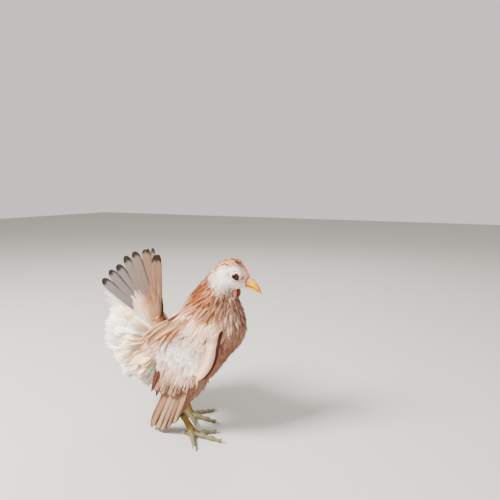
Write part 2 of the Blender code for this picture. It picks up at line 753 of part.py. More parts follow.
def tail(torso, draw):
    """The upright fan: long feathers on each side, with short coverts over their roots."""
    centre, half = TAIL_MOUND
    fan = ball("tail", centre, half, "tail_feather", 8, 14)
    pieces = []
    for _, sign in SIDES:
        for order, (x, z) in enumerate(TAIL_TIPS):
            out = TAIL_FIRST_OUT + TAIL_STEP_OUT * order
            root = point(TAIL_ROOT[0], sign * TAIL_ROOT_OUT, TAIL_ROOT[1])
            scatter = [draw.uniform(-TAIL_SCATTER, TAIL_SCATTER) for _ in range(2)]
            tip = point(x + scatter[0], sign * out, z + scatter[1])
            along = (tip - root).normalized()
            behind = Vector((-along.z, sign * TAIL_ROLL, along.x))
            pieces.append(fan_vane(root, tip, behind, TAIL_HALF_WIDTH, LONG_VANE, 0, "tail_feather"))
        for order in range(TAIL_COVERTS):
            x, z = blended(TAIL_TIPS, COVERT_START + order * COVERT_STEP)
            tip = mixed(TAIL_ROOT, (x, z), COVERT_REACH)
            out = COVERT_OUT + COVERT_STEP_OUT * order
            root = point(TAIL_ROOT[0], sign * (TAIL_ROOT_OUT + 2), TAIL_ROOT[1])
            end = point(tip[0], sign * out, tip[1])
            along = (end - root).normalized()
            behind = Vector((-along.z, sign * TAIL_ROLL, along.x))
            pieces.append(fan_vane(root, end, behind, COVERT_HALF_WIDTH, SHORT_VANE, 0, "tail_feather"))
    join_all(fan, pieces)
    block = parting_block(above=False)
    boolean(fan, block, "DIFFERENCE")
    remove(block)
    cut_clear(fan, [torso])
    merge_flat(fan)
    smooth(fan)


def fluff(torso, draw):
    """The rosette of broad soft feathers under the tail, in tiers that shorten towards the sides."""
    pole = point(FLUFF_POLE[0], 0, FLUFF_POLE[1])
    made = loft("fluff", upright_rings(FLUFF_CORE, 16)[::-1], "pale_plumage", pole)
    pieces = []
    for tier, (sideways, reach_share, first, last, count) in enumerate(FLUFF_TIERS):
        for sign in (-1, 1):
            for angle in spread(first, last, count):
                angle += draw.uniform(-FLUFF_TURN_SCATTER, FLUFF_TURN_SCATTER)
                angle += FLUFF_STAGGER if sign > 0 else 0
                reach = between(FLUFF_REACH, angle) * reach_share * draw.uniform(FLUFF_SHORTEST, 1)
                turn, swing = math.radians(angle), math.radians(sideways)
                way = Vector((math.cos(turn) * math.cos(swing), sign * math.sin(swing),
                              math.sin(turn) * math.cos(swing)))
                centre = point(FLUFF_CENTRE[0], sign * tier, FLUFF_CENTRE[1])
                root = centre + way * reach * FLUFF_ROOT_SHARE * MM
                tip = centre + way * reach * MM
                across = Vector((-math.sin(turn), sign * FLUFF_ROLL, math.cos(turn)))
                bow = sign * draw.uniform(*FLUFF_BOW)
                pieces.append(fan_vane(root, tip, across, FLUFF_HALF_WIDTH, SHORT_VANE, bow))
    join_all(made, pieces)
    block = parting_block(above=True)
    boolean(made, block, "DIFFERENCE")
    remove(block)
    cut_clear(made, [torso])
    merge_flat(made)
    smooth(made)
    return made


def stand_on_origin():
    """Moves everything so that the middle of the bounding box stands over the origin."""
    bpy.context.view_layer.update()
    shapes = [o for o in bpy.context.scene.objects if o.type == "MESH"]
    corners = [o.matrix_world @ v.co for o in shapes for v in o.data.vertices]
    low = Vector([min(c[i] for c in corners) for i in range(3)])
    high = Vector([max(c[i] for c in corners) for i in range(3)])
    shift = Vector((-(low.x + high.x) / 2, -(low.y + high.y) / 2, -low.z))
    for shape in shapes:
        shape.location += shift


def main():
    clear_scene()
    draw = random.Random(SEED)
    torso, neck, head = torso_neck_head()
    eyes_and_lids(head)
    mouth_line(head)
    lower = bill(head)
    comb(head)
    wattles([head, neck, lower])
    thighs = legs()
    for thigh in thighs:
        cut_clear(thigh, [torso])
    tail(torso, draw)
    fluff(torso, draw)
    wings([torso, neck, *thighs])
    stand_on_origin()


main()
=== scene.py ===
# %% [markdown]
# A young serama hen, life size, with her tail fan upright and her wings hanging to the floor.
# The solids give her shape. This script dresses them as a museum would show her: one skin under
# layers of feathers, and finer eyes, bill, comb, wattles and legs. Sizes are in millimetres from
# the joint of her right foot, with +X to her bill, +Y to her left and +Z up.

import itertools
import math

import bpy
import numpy as np
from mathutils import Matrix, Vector, noise
from mathutils.bvhtree import BVHTree


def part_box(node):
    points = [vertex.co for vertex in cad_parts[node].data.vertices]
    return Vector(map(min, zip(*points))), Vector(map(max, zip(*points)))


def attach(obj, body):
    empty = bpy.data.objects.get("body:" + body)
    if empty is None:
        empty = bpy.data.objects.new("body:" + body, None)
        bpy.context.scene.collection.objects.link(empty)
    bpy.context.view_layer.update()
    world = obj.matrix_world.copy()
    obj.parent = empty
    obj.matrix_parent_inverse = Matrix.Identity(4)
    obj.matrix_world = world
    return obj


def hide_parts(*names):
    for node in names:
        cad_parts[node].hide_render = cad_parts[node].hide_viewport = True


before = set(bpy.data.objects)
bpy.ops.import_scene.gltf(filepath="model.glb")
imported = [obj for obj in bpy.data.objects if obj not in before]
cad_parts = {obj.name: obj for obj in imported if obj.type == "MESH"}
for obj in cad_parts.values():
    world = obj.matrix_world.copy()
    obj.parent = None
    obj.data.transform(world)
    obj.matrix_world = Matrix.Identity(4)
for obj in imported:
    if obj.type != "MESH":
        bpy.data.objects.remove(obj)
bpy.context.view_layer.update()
MM = 0.001
FOOT_PAD = 4.4
FOOT_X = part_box("shank_right")[1].x - FOOT_PAD * MM
SIDES = (("right", -1), ("left", 1))
random = np.random.default_rng(7)
print("foot joint at", round(FOOT_X, 5), "with", len(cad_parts), "solids")


# %% [markdown]
# Many places are kept in one array, with a row of x, y and z for each. Blender's operators act on
# whatever is selected, so each helper that calls one first selects just the object that it works
# on. A finished piece keeps its place in its mesh, and rides on the body.

# %% Helpers for places and objects
def place(x, y, z):
    return Vector((x * MM + FOOT_X, y * MM, z * MM))


def places(points):
    """Many places in millimetres, as an array in metres."""
    return np.asarray(points, float) * MM + (FOOT_X, 0, 0)


def flat_of(points):
    """The x, y and z of places in metres, in millimetres from the foot."""
    return (points[:, 0] - FOOT_X) / MM, points[:, 1] / MM, points[:, 2] / MM


def xyz(x, y, z):
    """Places or ways from their x, y and z, any of which may be one number for all."""
    return np.column_stack(np.broadcast_arrays(x, y, z)).astype(float)


def between(first, second, share):
    """A blend of numbers or arrays, from the first at a share of 0 to the second at 1."""
    first = np.asarray(first)
    return first + (np.asarray(second) - first) * share


def stacked(rows):
    """Rows of arrays put together, the first ones of each row in one array, and so on."""
    return [np.concatenate(parts) for parts in zip(*rows)]


def only(obj):
    for other in bpy.context.selected_objects:
        other.select_set(False)
    obj.select_set(True)
    bpy.context.view_layer.objects.active = obj


def modify(obj, kind, **settings):
    """Adds a modifier with these settings and applies it at once."""
    only(obj)
    modifier = obj.modifiers.new(kind.lower(), kind)
    for name, value in settings.items():
        setattr(modifier, name, value)
    bpy.ops.object.modifier_apply(modifier=modifier.name)


def edit(obj, *steps):
    """Runs edit-mode operators on the whole mesh."""
    only(obj)
    bpy.ops.object.mode_set(mode="EDIT")
    bpy.ops.mesh.select_all(action="SELECT")
    for step in steps:
        step()
    bpy.ops.object.mode_set(mode="OBJECT")


def settle(obj, name, material, slot, *nodes):
    """Puts the object's place in its mesh, gives it its finish, hangs it on the body and hides the solids that it
    takes the place of.
    """
    only(obj)
    bpy.ops.object.transform_apply(location=True, rotation=True, scale=True)
    obj.name = obj.data.name = name
    obj.data.materials.clear()
    obj.data.materials.append(material)
    bpy.ops.object.shade_smooth()
    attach(obj, "root")
    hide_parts(*nodes)
    print(name, len(obj.data.polygons), "faces")
    return obj


def copy_of(node):
    """A loose copy of a solid with its split corners merged."""
    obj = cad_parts[node].copy()
    obj.data = obj.data.copy()
    for key in list(obj.keys()):
        del obj[key]
    obj.parent = None
    bpy.context.scene.collection.objects.link(obj)
    edit(obj, lambda: bpy.ops.mesh.remove_doubles(threshold=0.01 * MM))
    return obj


def joined(objects):
    only(objects[0])
    for obj in objects:
        obj.select_set(True)
    bpy.ops.object.join()
    return bpy.context.view_layer.objects.active


# %% [markdown]
# Every finish is a Principled shader. A feather's colour is worked out with its mesh and kept in
# an attribute named tint, so that the skin under it can carry the same markings. The fine barbs
# of a vane are too small for a mesh, so a node group draws them from a map that runs from the
# root of each feather to its tip, and from one edge to the other.

# %% Node helpers and the barb group
BARB_WAVER, GAP_DARKNESS, GAP_SHARPNESS, SPECK_CHANGE = 0.06, 0.22, 6.0, 0.16


def linear(red, green, blue):
    """A colour as seen on a screen, from 0 to 255, as the linear numbers that Blender uses."""
    shares = np.array((red, green, blue)) / 255
    return np.where(shares <= 0.04045, shares / 12.92, ((shares + 0.055) / 1.055) ** 2.4)


def node(tree, kind, inputs=(), **settings):
    """A shader node. Each input is a value or the output of another node."""
    made = tree.nodes.new(f"ShaderNode{kind}")
    for name, value in settings.items():
        setattr(made, name, value)
    for key, value in dict(inputs).items():
        if isinstance(value, bpy.types.NodeSocket):
            tree.links.new(value, made.inputs[key])
        else:
            made.inputs[key].default_value = value
    return made


def maths(tree, operation, *values):
    """The result of a sum on values or on the outputs of other nodes."""
    return node(tree, "Math", dict(enumerate(values)), operation=operation).outputs[0]


def object_coords(tree):
    return node(tree, "TexCoord").outputs["Object"]


def share_between(tree, value, low, high, least=0.0):
    """From least to 1 as the value goes from low to high."""
    limits = {"Value": value, "From Min": low, "From Max": high, "To Min": least}
    return node(tree, "MapRange", limits).outputs["Result"]


def barb_group():
    """Slanting barbs on both sides of a shaft: a height for bump and a mask of the gaps."""
    group = bpy.data.node_groups.new("barbs", "ShaderNodeTree")
    for name, kind in (("Vane", "NodeSocketVector"), ("Barbs", "NodeSocketFloat"), ("Slant", "NodeSocketFloat")):
        group.interface.new_socket(name, in_out="INPUT", socket_type=kind)
    for name in ("Height", "Gap"):
        group.interface.new_socket(name, in_out="OUTPUT", socket_type="NodeSocketFloat")
    given, result = (group.nodes.new(f"NodeGroup{end}") for end in ("Input", "Output"))
    apart = node(group, "SeparateXYZ", {0: given.outputs["Vane"]}).outputs
    from_shaft = maths(group, "ABSOLUTE", maths(group, "SUBTRACT", apart["Y"], 0.5))
    along = maths(group, "SUBTRACT", apart["X"], maths(group, "MULTIPLY", from_shaft, given.outputs["Slant"]))
    wavy = node(group, "TexNoise", {"Vector": given.outputs["Vane"], "Scale": 6.0, "Detail": 3.0})
    bent = maths(group, "MULTIPLY_ADD", wavy.outputs["Fac"], BARB_WAVER, along)
    wave = maths(group, "SINE", maths(group, "MULTIPLY", bent, given.outputs["Barbs"]))
    height = maths(group, "MULTIPLY_ADD", wave, 0.5, 0.5)
    group.links.new(height, result.inputs["Height"])
    group.links.new(maths(group, "POWER", height, GAP_SHARPNESS), result.inputs["Gap"])
    return group


barbs = barb_group()


def new_material(name, roughness, **sockets):
    material = bpy.data.materials.new(name)
    material.use_nodes = True
    shader = material.node_tree.nodes["Principled BSDF"]
    shader.inputs["Roughness"].default_value = roughness
    for socket, value in sockets.items():
        shader.inputs[socket.replace("_", " ")].default_value = value
    return material, material.node_tree, shader


def bump(tree, shader, height, strength, distance):
    made = node(tree, "Bump", {"Height": height, "Strength": strength, "Distance": distance * MM})
    tree.links.new(made.outputs[0], shader.inputs["Normal"])


def tinted(tree, shader, factor):
    """Colours the shader by the tint of its mesh times a factor."""
    tint = node(tree, "Attribute", attribute_name="tint")
    scaled = node(tree, "VectorMath", {0: tint.outputs["Color"], "Scale": factor}, operation="SCALE")
    tree.links.new(scaled.outputs[0], shader.inputs["Base Color"])


def feather_material(name, count, slant, depth, roughness):
    """Tint from the mesh, with fine barbs that darken a little in their gaps."""
    material, tree, shader = new_material(name, roughness, Specular_IOR_Level=0.12)
    vane = node(tree, "UVMap", uv_map="Vane")
    fine = node(tree, "Group", {"Vane": vane.outputs["UV"], "Barbs": count, "Slant": slant}, node_tree=barbs).outputs
    cloud = node(tree, "TexNoise", {"Vector": object_coords(tree), "Scale": 900.0, "Detail": 2.0})
    shade = maths(tree, "MULTIPLY_ADD", fine["Gap"], -GAP_DARKNESS, 1.0)
    speck = maths(tree, "MULTIPLY_ADD", cloud.outputs["Fac"], SPECK_CHANGE, 1 - SPECK_CHANGE / 2)
    tinted(tree, shader, maths(tree, "MULTIPLY", shade, speck))
    bump(tree, shader, fine["Height"], depth, 0.1)
    return material


body_finish = feather_material("body_feather", 120.0, 0.6, 0.5, 0.8)
vane_finish = feather_material("flight_feather", 420.0, 0.5, 0.4, 0.62)
down_finish = feather_material("soft_feather", 90.0, 0.9, 0.4, 0.85)

# %% [markdown]
# The hen's plumage changes from patch to patch. Each row below is one patch, seen from her side:
# its place, how far it reaches, the way its feathers lie, their length and half width, and its
# colour. A feather blends the rows that are near its root, so that no patch has an edge.

# %% Patches of the plumage
WHITE, PEARL, CREAM = linear(252, 249, 238), linear(218, 174, 148), linear(186, 146, 116)
BUFF, GINGER, RUST = linear(164, 100, 64), linear(132, 72, 38), linear(96, 43, 18)
PEACH, SAND, DUSK = linear(132, 92, 72), linear(142, 102, 83), linear(104, 68, 50)
SADDLE, CROWN, PINK = linear(144, 100, 66), linear(160, 98, 54), linear(208, 152, 130)
CAP, LORE_SPOT = linear(188, 132, 88), linear(150, 98, 80)
# The first colour of this line is painted shadow, for the dark breast in front of the wrist and low on the belly.
PAINTED_SHADE, PLUME, LORES = linear(108, 68, 50), linear(168, 122, 86), linear(226, 184, 166)

# x, z, reach, lie x, lie z, feather length, half width, colour
PATCHES = (
    (53.5, 158, 1.8, -0.9, 0.3, 1.8, 0.55, LORES),
    (51.5, 152, 2.0, -1, -0.1, 1.8, 0.55, LORES),
    (39.5, 157, 1.2, -1, -0.2, 1.8, 0.55, PINK),
    (50.2, 154.2, 0.6, -1, -0.1, 1.6, 0.5, LORE_SPOT),
    (45, 147, 3.5, -1, -0.3, 2.2, 0.7, WHITE),
    (39, 150, 4, -0.9, -0.5, 2.8, 0.8, WHITE),
    (44.5, 160, 2.6, -0.9, 0.1, 2.4, 0.7, WHITE),
    (34, 158.5, 3.4, -0.95, -0.3, 3.2, 0.9, WHITE),
    (30, 153, 4, -0.8, -0.6, 3.6, 1.0, WHITE),
    (51, 163, 2.8, -0.8, 0.6, 2.2, 0.7, PEARL),
    (45, 167.5, 3.0, -0.95, 0.2, 3.4, 0.8, CROWN),
    (36, 168.5, 3.8, -1, -0.1, 5.4, 0.9, CAP),
    (26, 164.5, 4, -0.85, -0.5, 5.0, 1.0, CROWN),
    (24, 156, 3.5, -0.75, -0.65, 5.0, 1.1, PEARL),
    (16, 157, 4, -0.75, -0.65, 6.5, 1.1, RUST),
    (22, 146, 3.5, -0.6, -0.8, 6.5, 1.2, BUFF),
    (12, 149, 5, -0.65, -0.75, 8.0, 1.3, RUST),
    (4, 141, 6, -0.6, -0.8, 10.0, 1.4, RUST),
    (16, 138, 7, -0.6, -0.8, 10.0, 1.5, GINGER),
    (-6, 128, 6, -0.6, -0.8, 13.0, 1.6, SADDLE),
    (8, 126, 7, -0.55, -0.85, 13.0, 1.7, GINGER),
    (22, 124, 7, -0.4, -0.9, 12.0, 1.7, SADDLE),
    (-12, 118, 7, -0.7, -0.7, 14.0, 1.8, PEARL),
    (6, 116, 8, -0.5, -0.85, 13.0, 1.8, PEARL),
    (36, 143, 3.0, -0.4, -0.9, 4.2, 1.0, SAND),
    (32, 134, 6, -0.2, -1, 6.5, 1.4, DUSK),
    (43, 131, 6, 0, -1, 6.0, 1.4, PEACH),
    (46, 118, 7, 0.1, -1, 7.0, 1.8, SAND),
    (34, 112, 8, -0.1, -1, 9.0, 2.0, SAND),
    (50, 102, 7, -0.1, -1, 8.0, 2.2, SAND),
    (46, 92, 7, -0.5, -0.85, 8.0, 2.4, SAND),
    # painted shadow in front of the wrist
    (38, 92, 2.6, -0.4, -0.92, 6.0, 1.8, PAINTED_SHADE),
    (34, 79, 2.6, -0.6, -0.8, 6.0, 1.8, PAINTED_SHADE),
    (26, 67, 4, -0.7, -0.7, 6.0, 1.8, SAND),
    (42, 80, 6, -0.6, -0.8, 8.0, 2.4, SAND),
    (10, 60, 10, -0.8, -0.6, 9.0, 2.8, SAND),
    (-20, 60, 12, -0.9, -0.3, 10.0, 3.0, PEARL),
    (0, 90, 14, -0.7, -0.7, 9.0, 2.4, BUFF),
    (-24, 108, 7, -0.85, -0.5, 14.0, 2.0, SADDLE),
    (-38, 100, 6, -1, -0.1, 13.0, 2.4, SADDLE),
    (-48, 102, 6, -0.5, 0.85, 12.0, 3.0, BUFF),
    (-45, 78, 12, -0.95, -0.3, 13.0, 3.4, PEARL),
    (-66, 76, 12, -1, -0.1, 13.0, 3.6, WHITE),
    (2, 48, 9, -0.35, -0.95, 6.5, 1.9, PEACH),
    (-8, 32, 8, -0.25, -0.97, 5.5, 1.5, PEACH),
    # painted shadow low on the belly
    (-13, 20, 4, -0.2, -0.98, 4.5, 1.2, PAINTED_SHADE),
)

# The dark lines of the crown: distance from the middle, width, where they begin and how dark
# they are. The brown streaks: where they begin and how deep they are.
LINE_OUT, LINE_WIDTH, LINE_LOWEST, LINE_FIRST, LINE_SHADE = 3.4, 0.75, 159, 33, 0.8
STREAK_LOWEST, STREAK_DEPTH = 161, 1.5


def mixed_rows(rows, x, z):
    """Lie x and z, feather length, half width and colour at each place, from the rows near it."""
    middles, reach = np.array([row[:2] for row in rows], float), np.array([row[2] for row in rows], float)
    values = np.array([(*row[3:7], *row[7]) for row in rows])
    away = ((np.stack([x, z], 1)[:, None] - middles) ** 2).sum(2) / (2 * reach**2)
    weight = np.exp(away.min(1, keepdims=True) - away) / reach
    return (weight / weight.sum(1, keepdims=True)) @ values


def clipped(values):
    return np.clip(values, 0, 1)


def plumage_at(points):
    """The rows blended at places on the skin. Dark lines part the feathers of the crown, and
    brown streaks run back over it and down the nape."""
    x, y, z = flat_of(points)
    found = mixed_rows(PATCHES, x, z)
    line = np.exp(-((np.abs(y) - LINE_OUT) / LINE_WIDTH) ** 2)
    line *= clipped((z - LINE_LOWEST) / 3) * clipped((x - LINE_FIRST) / 4)
    streaks = clipped(np.sin(2.9 * y + 0.3 * x + 0.9 * np.sin(0.7 * z))) ** 2
    streaks *= clipped((z - STREAK_LOWEST) / 4)
    found[:, 4:] *= 1 - LINE_SHADE * line[:, None]
    found[:, 4:] **= 1 + STREAK_DEPTH * streaks[:, None]
    return found


print(len(PATCHES), "patches of plumage")

# %% [markdown]
# A wing hangs on each side on a gently curved surface. The solids use the same curve, so the
# render's feathers are laid out on it again, finer and in more rows.

# %% The surface and the swing of the wings
WING_OUT, WING_BEND_AHEAD, WING_BEND_BEHIND, WING_BEND_ABOVE = 31.5, 0.0072, 0.0006, 0.017
WING_MIDDLE, WING_SHOULDER_HEIGHT = 2, 92
WING_SHOULDER = (20, 110)
WING_SWING = {"right": 0, "left": 14}
WING_SHIFT = {"right": 0, "left": -8}
# front edge and rear edge of the wing's arm, as x and z, from the shoulder down
WING_PAD = (
    (19, 118, 0, 117.5),
    (31, 110, -10, 107),
    (35.5, 99, -17, 94),
    (34.5, 86, -22, 80),
    (29, 73, -25, 67),
    (18, 63, -27, 56),
    (4, 57, -24, 50),
)


def blended(rows, along):
    """The row at a fractional place, on a smooth curve through the rows."""
    rows = np.asarray(rows, float)
    first = min(int(along), len(rows) - 2)
    t = along - first
    a, b = rows[max(first - 1, 0)], rows[first]
    c, d = rows[first + 1], rows[min(first + 2, len(rows) - 1)]
    return 0.5 * (2 * b + (c - a) * t + (2 * a - 5 * b + 4 * c - d) * t**2 + (3 * b - a - 3 * c + d) * t**3)


def wing_out(flat):
    """How far from the middle plane the wing's surface lies, at places given as x and z."""
    ahead = flat[..., 0] - WING_MIDDLE
    bend = np.where(ahead > 0, WING_BEND_AHEAD, WING_BEND_BEHIND)
    above = np.maximum(0, flat[..., 1] - WING_SHOULDER_HEIGHT)
    return WING_OUT - bend * ahead**2 - WING_BEND_ABOVE * above**2


def rotated(x, z, sine, cosine):
    """Turned from up towards the bill by the angle with this sine and cosine."""
    return x * cosine + z * sine, z * cosine - x * sine


def swung(flat, side, share=1.0):
    """Places on the wing after it is swung back about its shoulder."""
    turn = math.radians(WING_SWING[side]) * share
    x, z = flat[..., 0] - WING_SHOULDER[0], flat[..., 1] - WING_SHOULDER[1]
    ahead, up = rotated(x, z, math.sin(turn), math.cos(turn))
    return np.stack([ahead + WING_SHIFT[side] * share + WING_SHOULDER[0], up + WING_SHOULDER[1]], -1)


def on_wing(flat, sign, lift=0.0):
    """Places given as x and z, set on the wing's surface and lifted off it."""
    out = sign * (wing_out(flat) + lift)
    return places(np.stack([flat[..., 0], out, flat[..., 1]], -1))


# %% [markdown]
# Under the feathers lies one skin. It starts as copies of the solids of head, neck, torso and
# thighs, with a pad for each wing's arm, a ball for the rump and one for the root of the tail. A
# voxel remesh fuses them, so no seam shows, and a displace sinks the skin by the coat's depth.

# %% The skin
FLESH = ("head", "neck", "torso", "thigh_right", "thigh_left")
RUMP_CORES = (((-50, 0, 76), (27, 19, 23)), ((-48, 0, 95), (8.5, 7.5, 12)))
SKIN_VOXEL, COAT_DEPTH, PAD_THICKNESS, PAD_DEPTH = 1.1, 1.3, 3.6, 2.0


def wing_arm(side, sign):
    """The fleshy part of a wing: a grid laid on the wing's surface and given its thickness."""
    bpy.ops.mesh.primitive_grid_add(x_subdivisions=12, y_subdivisions=16, size=1)
    arm = bpy.context.object
    for vertex in arm.data.vertices:
        lead, trail = blended(WING_PAD, (0.5 - vertex.co.y) * (len(WING_PAD) - 1)).reshape(2, 2)
        vertex.co = on_wing(swung(between(lead, trail, vertex.co.x + 0.5), side), sign, -PAD_DEPTH)
    modify(arm, "SOLIDIFY", thickness=PAD_THICKNESS * MM, offset=0)
    return arm


pieces = [copy_of(name) for name in FLESH]
for centre, radii in RUMP_CORES:
    bpy.ops.mesh.primitive_uv_sphere_add(
        segments=32, ring_count=20, location=place(*centre), scale=[radius * MM for radius in radii])
    pieces.append(bpy.context.object)
pieces += [wing_arm(side, sign) for side, sign in SIDES]
skin = joined(pieces)
edit(skin, lambda: bpy.ops.mesh.normals_make_consistent(inside=False))
modify(skin, "REMESH", mode="VOXEL", voxel_size=SKIN_VOXEL * MM)
modify(skin, "SMOOTH", factor=0.5, iterations=6)
modify(skin, "DISPLACE", strength=-COAT_DEPTH * MM, mid_level=0)
edit(skin, lambda: bpy.ops.uv.smart_project(angle_limit=math.radians(66), island_margin=0.002))
skin.data.uv_layers[0].name = "OFBake"
print("skin", len(skin.data.polygons), "faces")

# %% [markdown]
# Feathers need to know where the skin is. Its triangles, their areas and their places on the
# unwrap go into arrays, and a search tree finds the nearest point of the skin for any place.

# %% The skin as arrays
def values_of(rows, attribute, wide, kind=float):
    """One value or a few of every row of a mesh, as an array."""
    found = np.empty(len(rows) * wide, kind)
    rows.foreach_get(attribute, found)
    return found.reshape(-1, wide)


def unit(ways):
    return ways / np.maximum(np.linalg.norm(ways, axis=-1, keepdims=True), 1e-12)


skin.data.calc_loop_triangles()
skin_points = values_of(skin.data.vertices, "co", 3)
skin_corners = values_of(skin.data.loop_triangles, "vertices", 3, np.int32)
skin_loops = values_of(skin.data.loop_triangles, "loops", 3, np.int32)
skin_uvs = values_of(skin.data.uv_layers["OFBake"].data, "uv", 2)[skin_loops]
skin_tree = BVHTree.FromPolygons(skin_points.tolist(), skin_corners.tolist())
triangle_points = skin_points[skin_corners]
triangle_ways = np.cross(
    triangle_points[:, 1] - triangle_points[:, 0], triangle_points[:, 2] - triangle_points[:, 0])
triangle_areas = np.linalg.norm(triangle_ways, axis=1) / 2


def skin_uv(points):
    """The place on the unwrap of the skin that is nearest to each point."""
    found = [skin_tree.find_nearest(spot) for spot in points.tolist()]
    near, index = np.array([f[0] for f in found]), np.array([f[2] for f in found])
    a, b, c = (triangle_points[index, i] for i in range(3))
    areas = [np.linalg.norm(np.cross(p - near, q - near), axis=1) for p, q in ((b, c), (c, a), (a, b))]
    weights = np.stack(areas, 1) / np.maximum(sum(areas), 1e-15)[:, None]
    return (skin_uvs[index] * weights[..., None]).sum(1)


def tint_mesh(mesh, colours):
    layer = mesh.color_attributes.new("tint", "FLOAT_COLOR", "POINT")
    layer.data.foreach_set("color", np.column_stack([colours, np.ones(len(colours))]).astype(np.float32).ravel())


def scattered(spacing, part):
    """Places spread over one part of the skin, about spacing apart. Gives each place with its
    normal and its place on the unwrap."""
    count = int(triangle_areas.sum() / (spacing * MM) ** 2 * 3)
    chosen = random.choice(len(triangle_areas), count, p=triangle_areas / triangle_areas.sum())
    a, b = np.sqrt(random.random(count)), random.random(count)
    weights = np.stack([1 - a, a * (1 - b), a * b], 1)[..., None]
    points = (triangle_points[chosen] * weights).sum(1)
    normals, uvs = unit(triangle_ways[chosen]), (skin_uvs[chosen] * weights).sum(1)
    wanted = np.flatnonzero(parts_of(points, normals)[part])
    cells, kept = {}, []
    for index, spot in zip(wanted, (points[wanted] / (spacing * MM)).tolist()):
        key = [int(math.floor(value)) for value in spot]
        beside = itertools.product(*((value - 1, value, value + 1) for value in key))
        near = (other for cell in beside for other in cells.get(cell, ()))
        if all(sum((p - q) ** 2 for p, q in zip(spot, other)) > 0.7 for other in near):
            cells.setdefault(tuple(key), []).append(spot)
            kept.append(index)
    return points[kept], normals[kept], uvs[kept]


# %% [markdown]
# A feather is a shaft with barbs along both sides. Up close its edge breaks into small pointed
# bundles of barbs, so the pattern of a body feather is made of such bundles. It is drawn once, as
# a flat shape with u from root to tip and v from edge to edge, and then copied along each spine.

# %% Patterns for feathers
def frayed(count, outline, slant=0.22, open_share=0.55):
    """A soft feather: count bundles of barbs on each side, parted from open_share of the way out."""
    shaft = np.linspace(0, 0.86, count + 1)
    points, faces = [(u, 0.0) for u in shaft], []
    for side in (-1, 1):
        for i in range(count):
            tip_u = min(shaft[i] + slant * 1.15 + 0.02, 1.0)
            wide = np.interp(tip_u, *outline)
            first = len(points)
            points += [
                (shaft[i] + slant * open_share, side * wide * open_share),
                (min(shaft[i + 1] + slant * open_share, 0.98), side * wide * open_share),
                (tip_u, side * wide),
            ]
            a, b, c, d, e = i, i + 1, first + 1, first, first + 2
            bundle = [(a, b, c), (a, c, d), (d, c, e)]
            faces += bundle if side > 0 else [face[::-1] for face in bundle]
    first = len(points)
    points += [(0.97, -0.14), (0.97, 0.14), (1.0, 0.0)]
    faces += [(count, first, first + 1), (first, first + 2, first + 1)]
    return np.array(points), np.array(faces)


def bladed(along, outline):
    """A firm vane with a raised shaft, as a closed blade: top and bottom sheets and an edge."""
    across = np.array((-1, -0.8, -0.4, -0.05, 0.05, 0.4, 0.8, 1))
    points = np.array([(u, v * np.interp(u, *outline)) for u in along for v in across])
    rows, wide, count, faces = len(along), len(across), len(points), []
    for i in range(rows - 1):
        for j in range(wide - 1):
            a, b, c, d = i * wide + j, i * wide + j + 1, (i + 1) * wide + j + 1, (i + 1) * wide + j
            faces += [(a, d, c), (a, c, b), (a + count, c + count, d + count), (a + count, b + count, c + count)]
    rim = [i * wide for i in range(rows)] + [(rows - 1) * wide + j for j in range(1, wide)]
    rim += [i * wide + wide - 1 for i in range(rows - 2, -1, -1)] + list(range(wide - 2, 0, -1))
    for a, b in zip(rim, rim[1:] + rim[:1]):
        faces += [(a, a + count, b), (b, a + count, b + count)]
    return np.vstack([points, points]), np.array(faces)


WISPY = ((0, 0.2, 0.5, 0.8, 0.92, 1), (0.4, 0.75, 1, 0.8, 0.5, 0.12))
ROUND = ((0, 0.3, 0.6, 0.85, 0.95, 1), (0.45, 0.85, 1, 0.8, 0.5, 0.2))
POINTED = ((0, 0.25, 0.55, 0.8, 1), (0.5, 0.9, 1, 0.65, 0.12))
BROAD = ((0, 0.2, 0.5, 0.8, 0.93, 1), (0.35, 0.7, 0.92, 1, 0.75, 0.35))
FLIGHT = ((0, 0.15, 0.4, 0.8, 0.9, 0.96, 1), (0.3, 0.6, 0.9, 1, 0.85, 0.6, 0.22))
TAPERED = ((0, 0.15, 0.4, 0.7, 0.85, 0.95, 1), (0.3, 0.6, 0.9, 1, 0.78, 0.42, 0.12))
TAIL_VANE = ((0, 0.15, 0.5, 0.85, 0.94, 0.98, 1), (0.3, 0.45, 0.75, 1, 0.86, 0.6, 0.25))
LOBE = ((0, 0.2, 0.5, 0.8, 0.92, 1), (0.5, 0.85, 1, 0.92, 0.68, 0.2))
SCUTE = ((0, 0.3, 0.75, 1), (0.85, 1, 0.95, 0.55))
small_feather, body_feather, tuft_feather = frayed(3, ROUND, 0.3), frayed(6, ROUND), frayed(16, WISPY, 0.16, 0.5)
long_plume, stream_feather = frayed(12, POINTED, 0.12, 0.6), frayed(26, TAPERED, 0.07, 0.8)
hackle_feather, covert_feather = frayed(7, POINTED, 0.2), frayed(14, BROAD, 0.1, 0.8)
soft_feather, petal_feather = frayed(20, BROAD, 0.13, 0.62), frayed(20, BROAD, 0.1, 0.66)
lobe_feather, flight_feather = bladed(np.linspace(0, 1, 20), LOBE), bladed(np.linspace(0, 1, 18), FLIGHT)
tail_vane = bladed(np.concatenate([np.linspace(0, 0.86, 12), np.linspace(0.89, 1, 10)]), TAIL_VANE)
scute = bladed(np.linspace(0, 1, 5), SCUTE)
print("faces:", [len(p[1]) for p in (small_feather, body_feather, hackle_feather, soft_feather, flight_feather)])


# %% [markdown]
# Each feather follows a spine of a few points with an outward way at each. The spine bends the
# flat pattern over the body, and a little camber lets its edges curl in. Thousands of feathers
# are joined into one mesh by arithmetic on whole arrays, which takes far less time than objects.

# %% Feathers on spines
PATCH_SIZE, STRIP_MARGIN, STRIP_WIDTH, ROOT_SINK, WAY_KEPT = 0.003, 0.01, 0.45, 0.3, 0.35


def varied(count, low, high):
    return random.uniform(low, high, count)


def even(stations):
    """Shares from 0 to 1 along a spine, shaped to spread over many spines."""
    return np.linspace(0, 1, stations)[None, :, None]


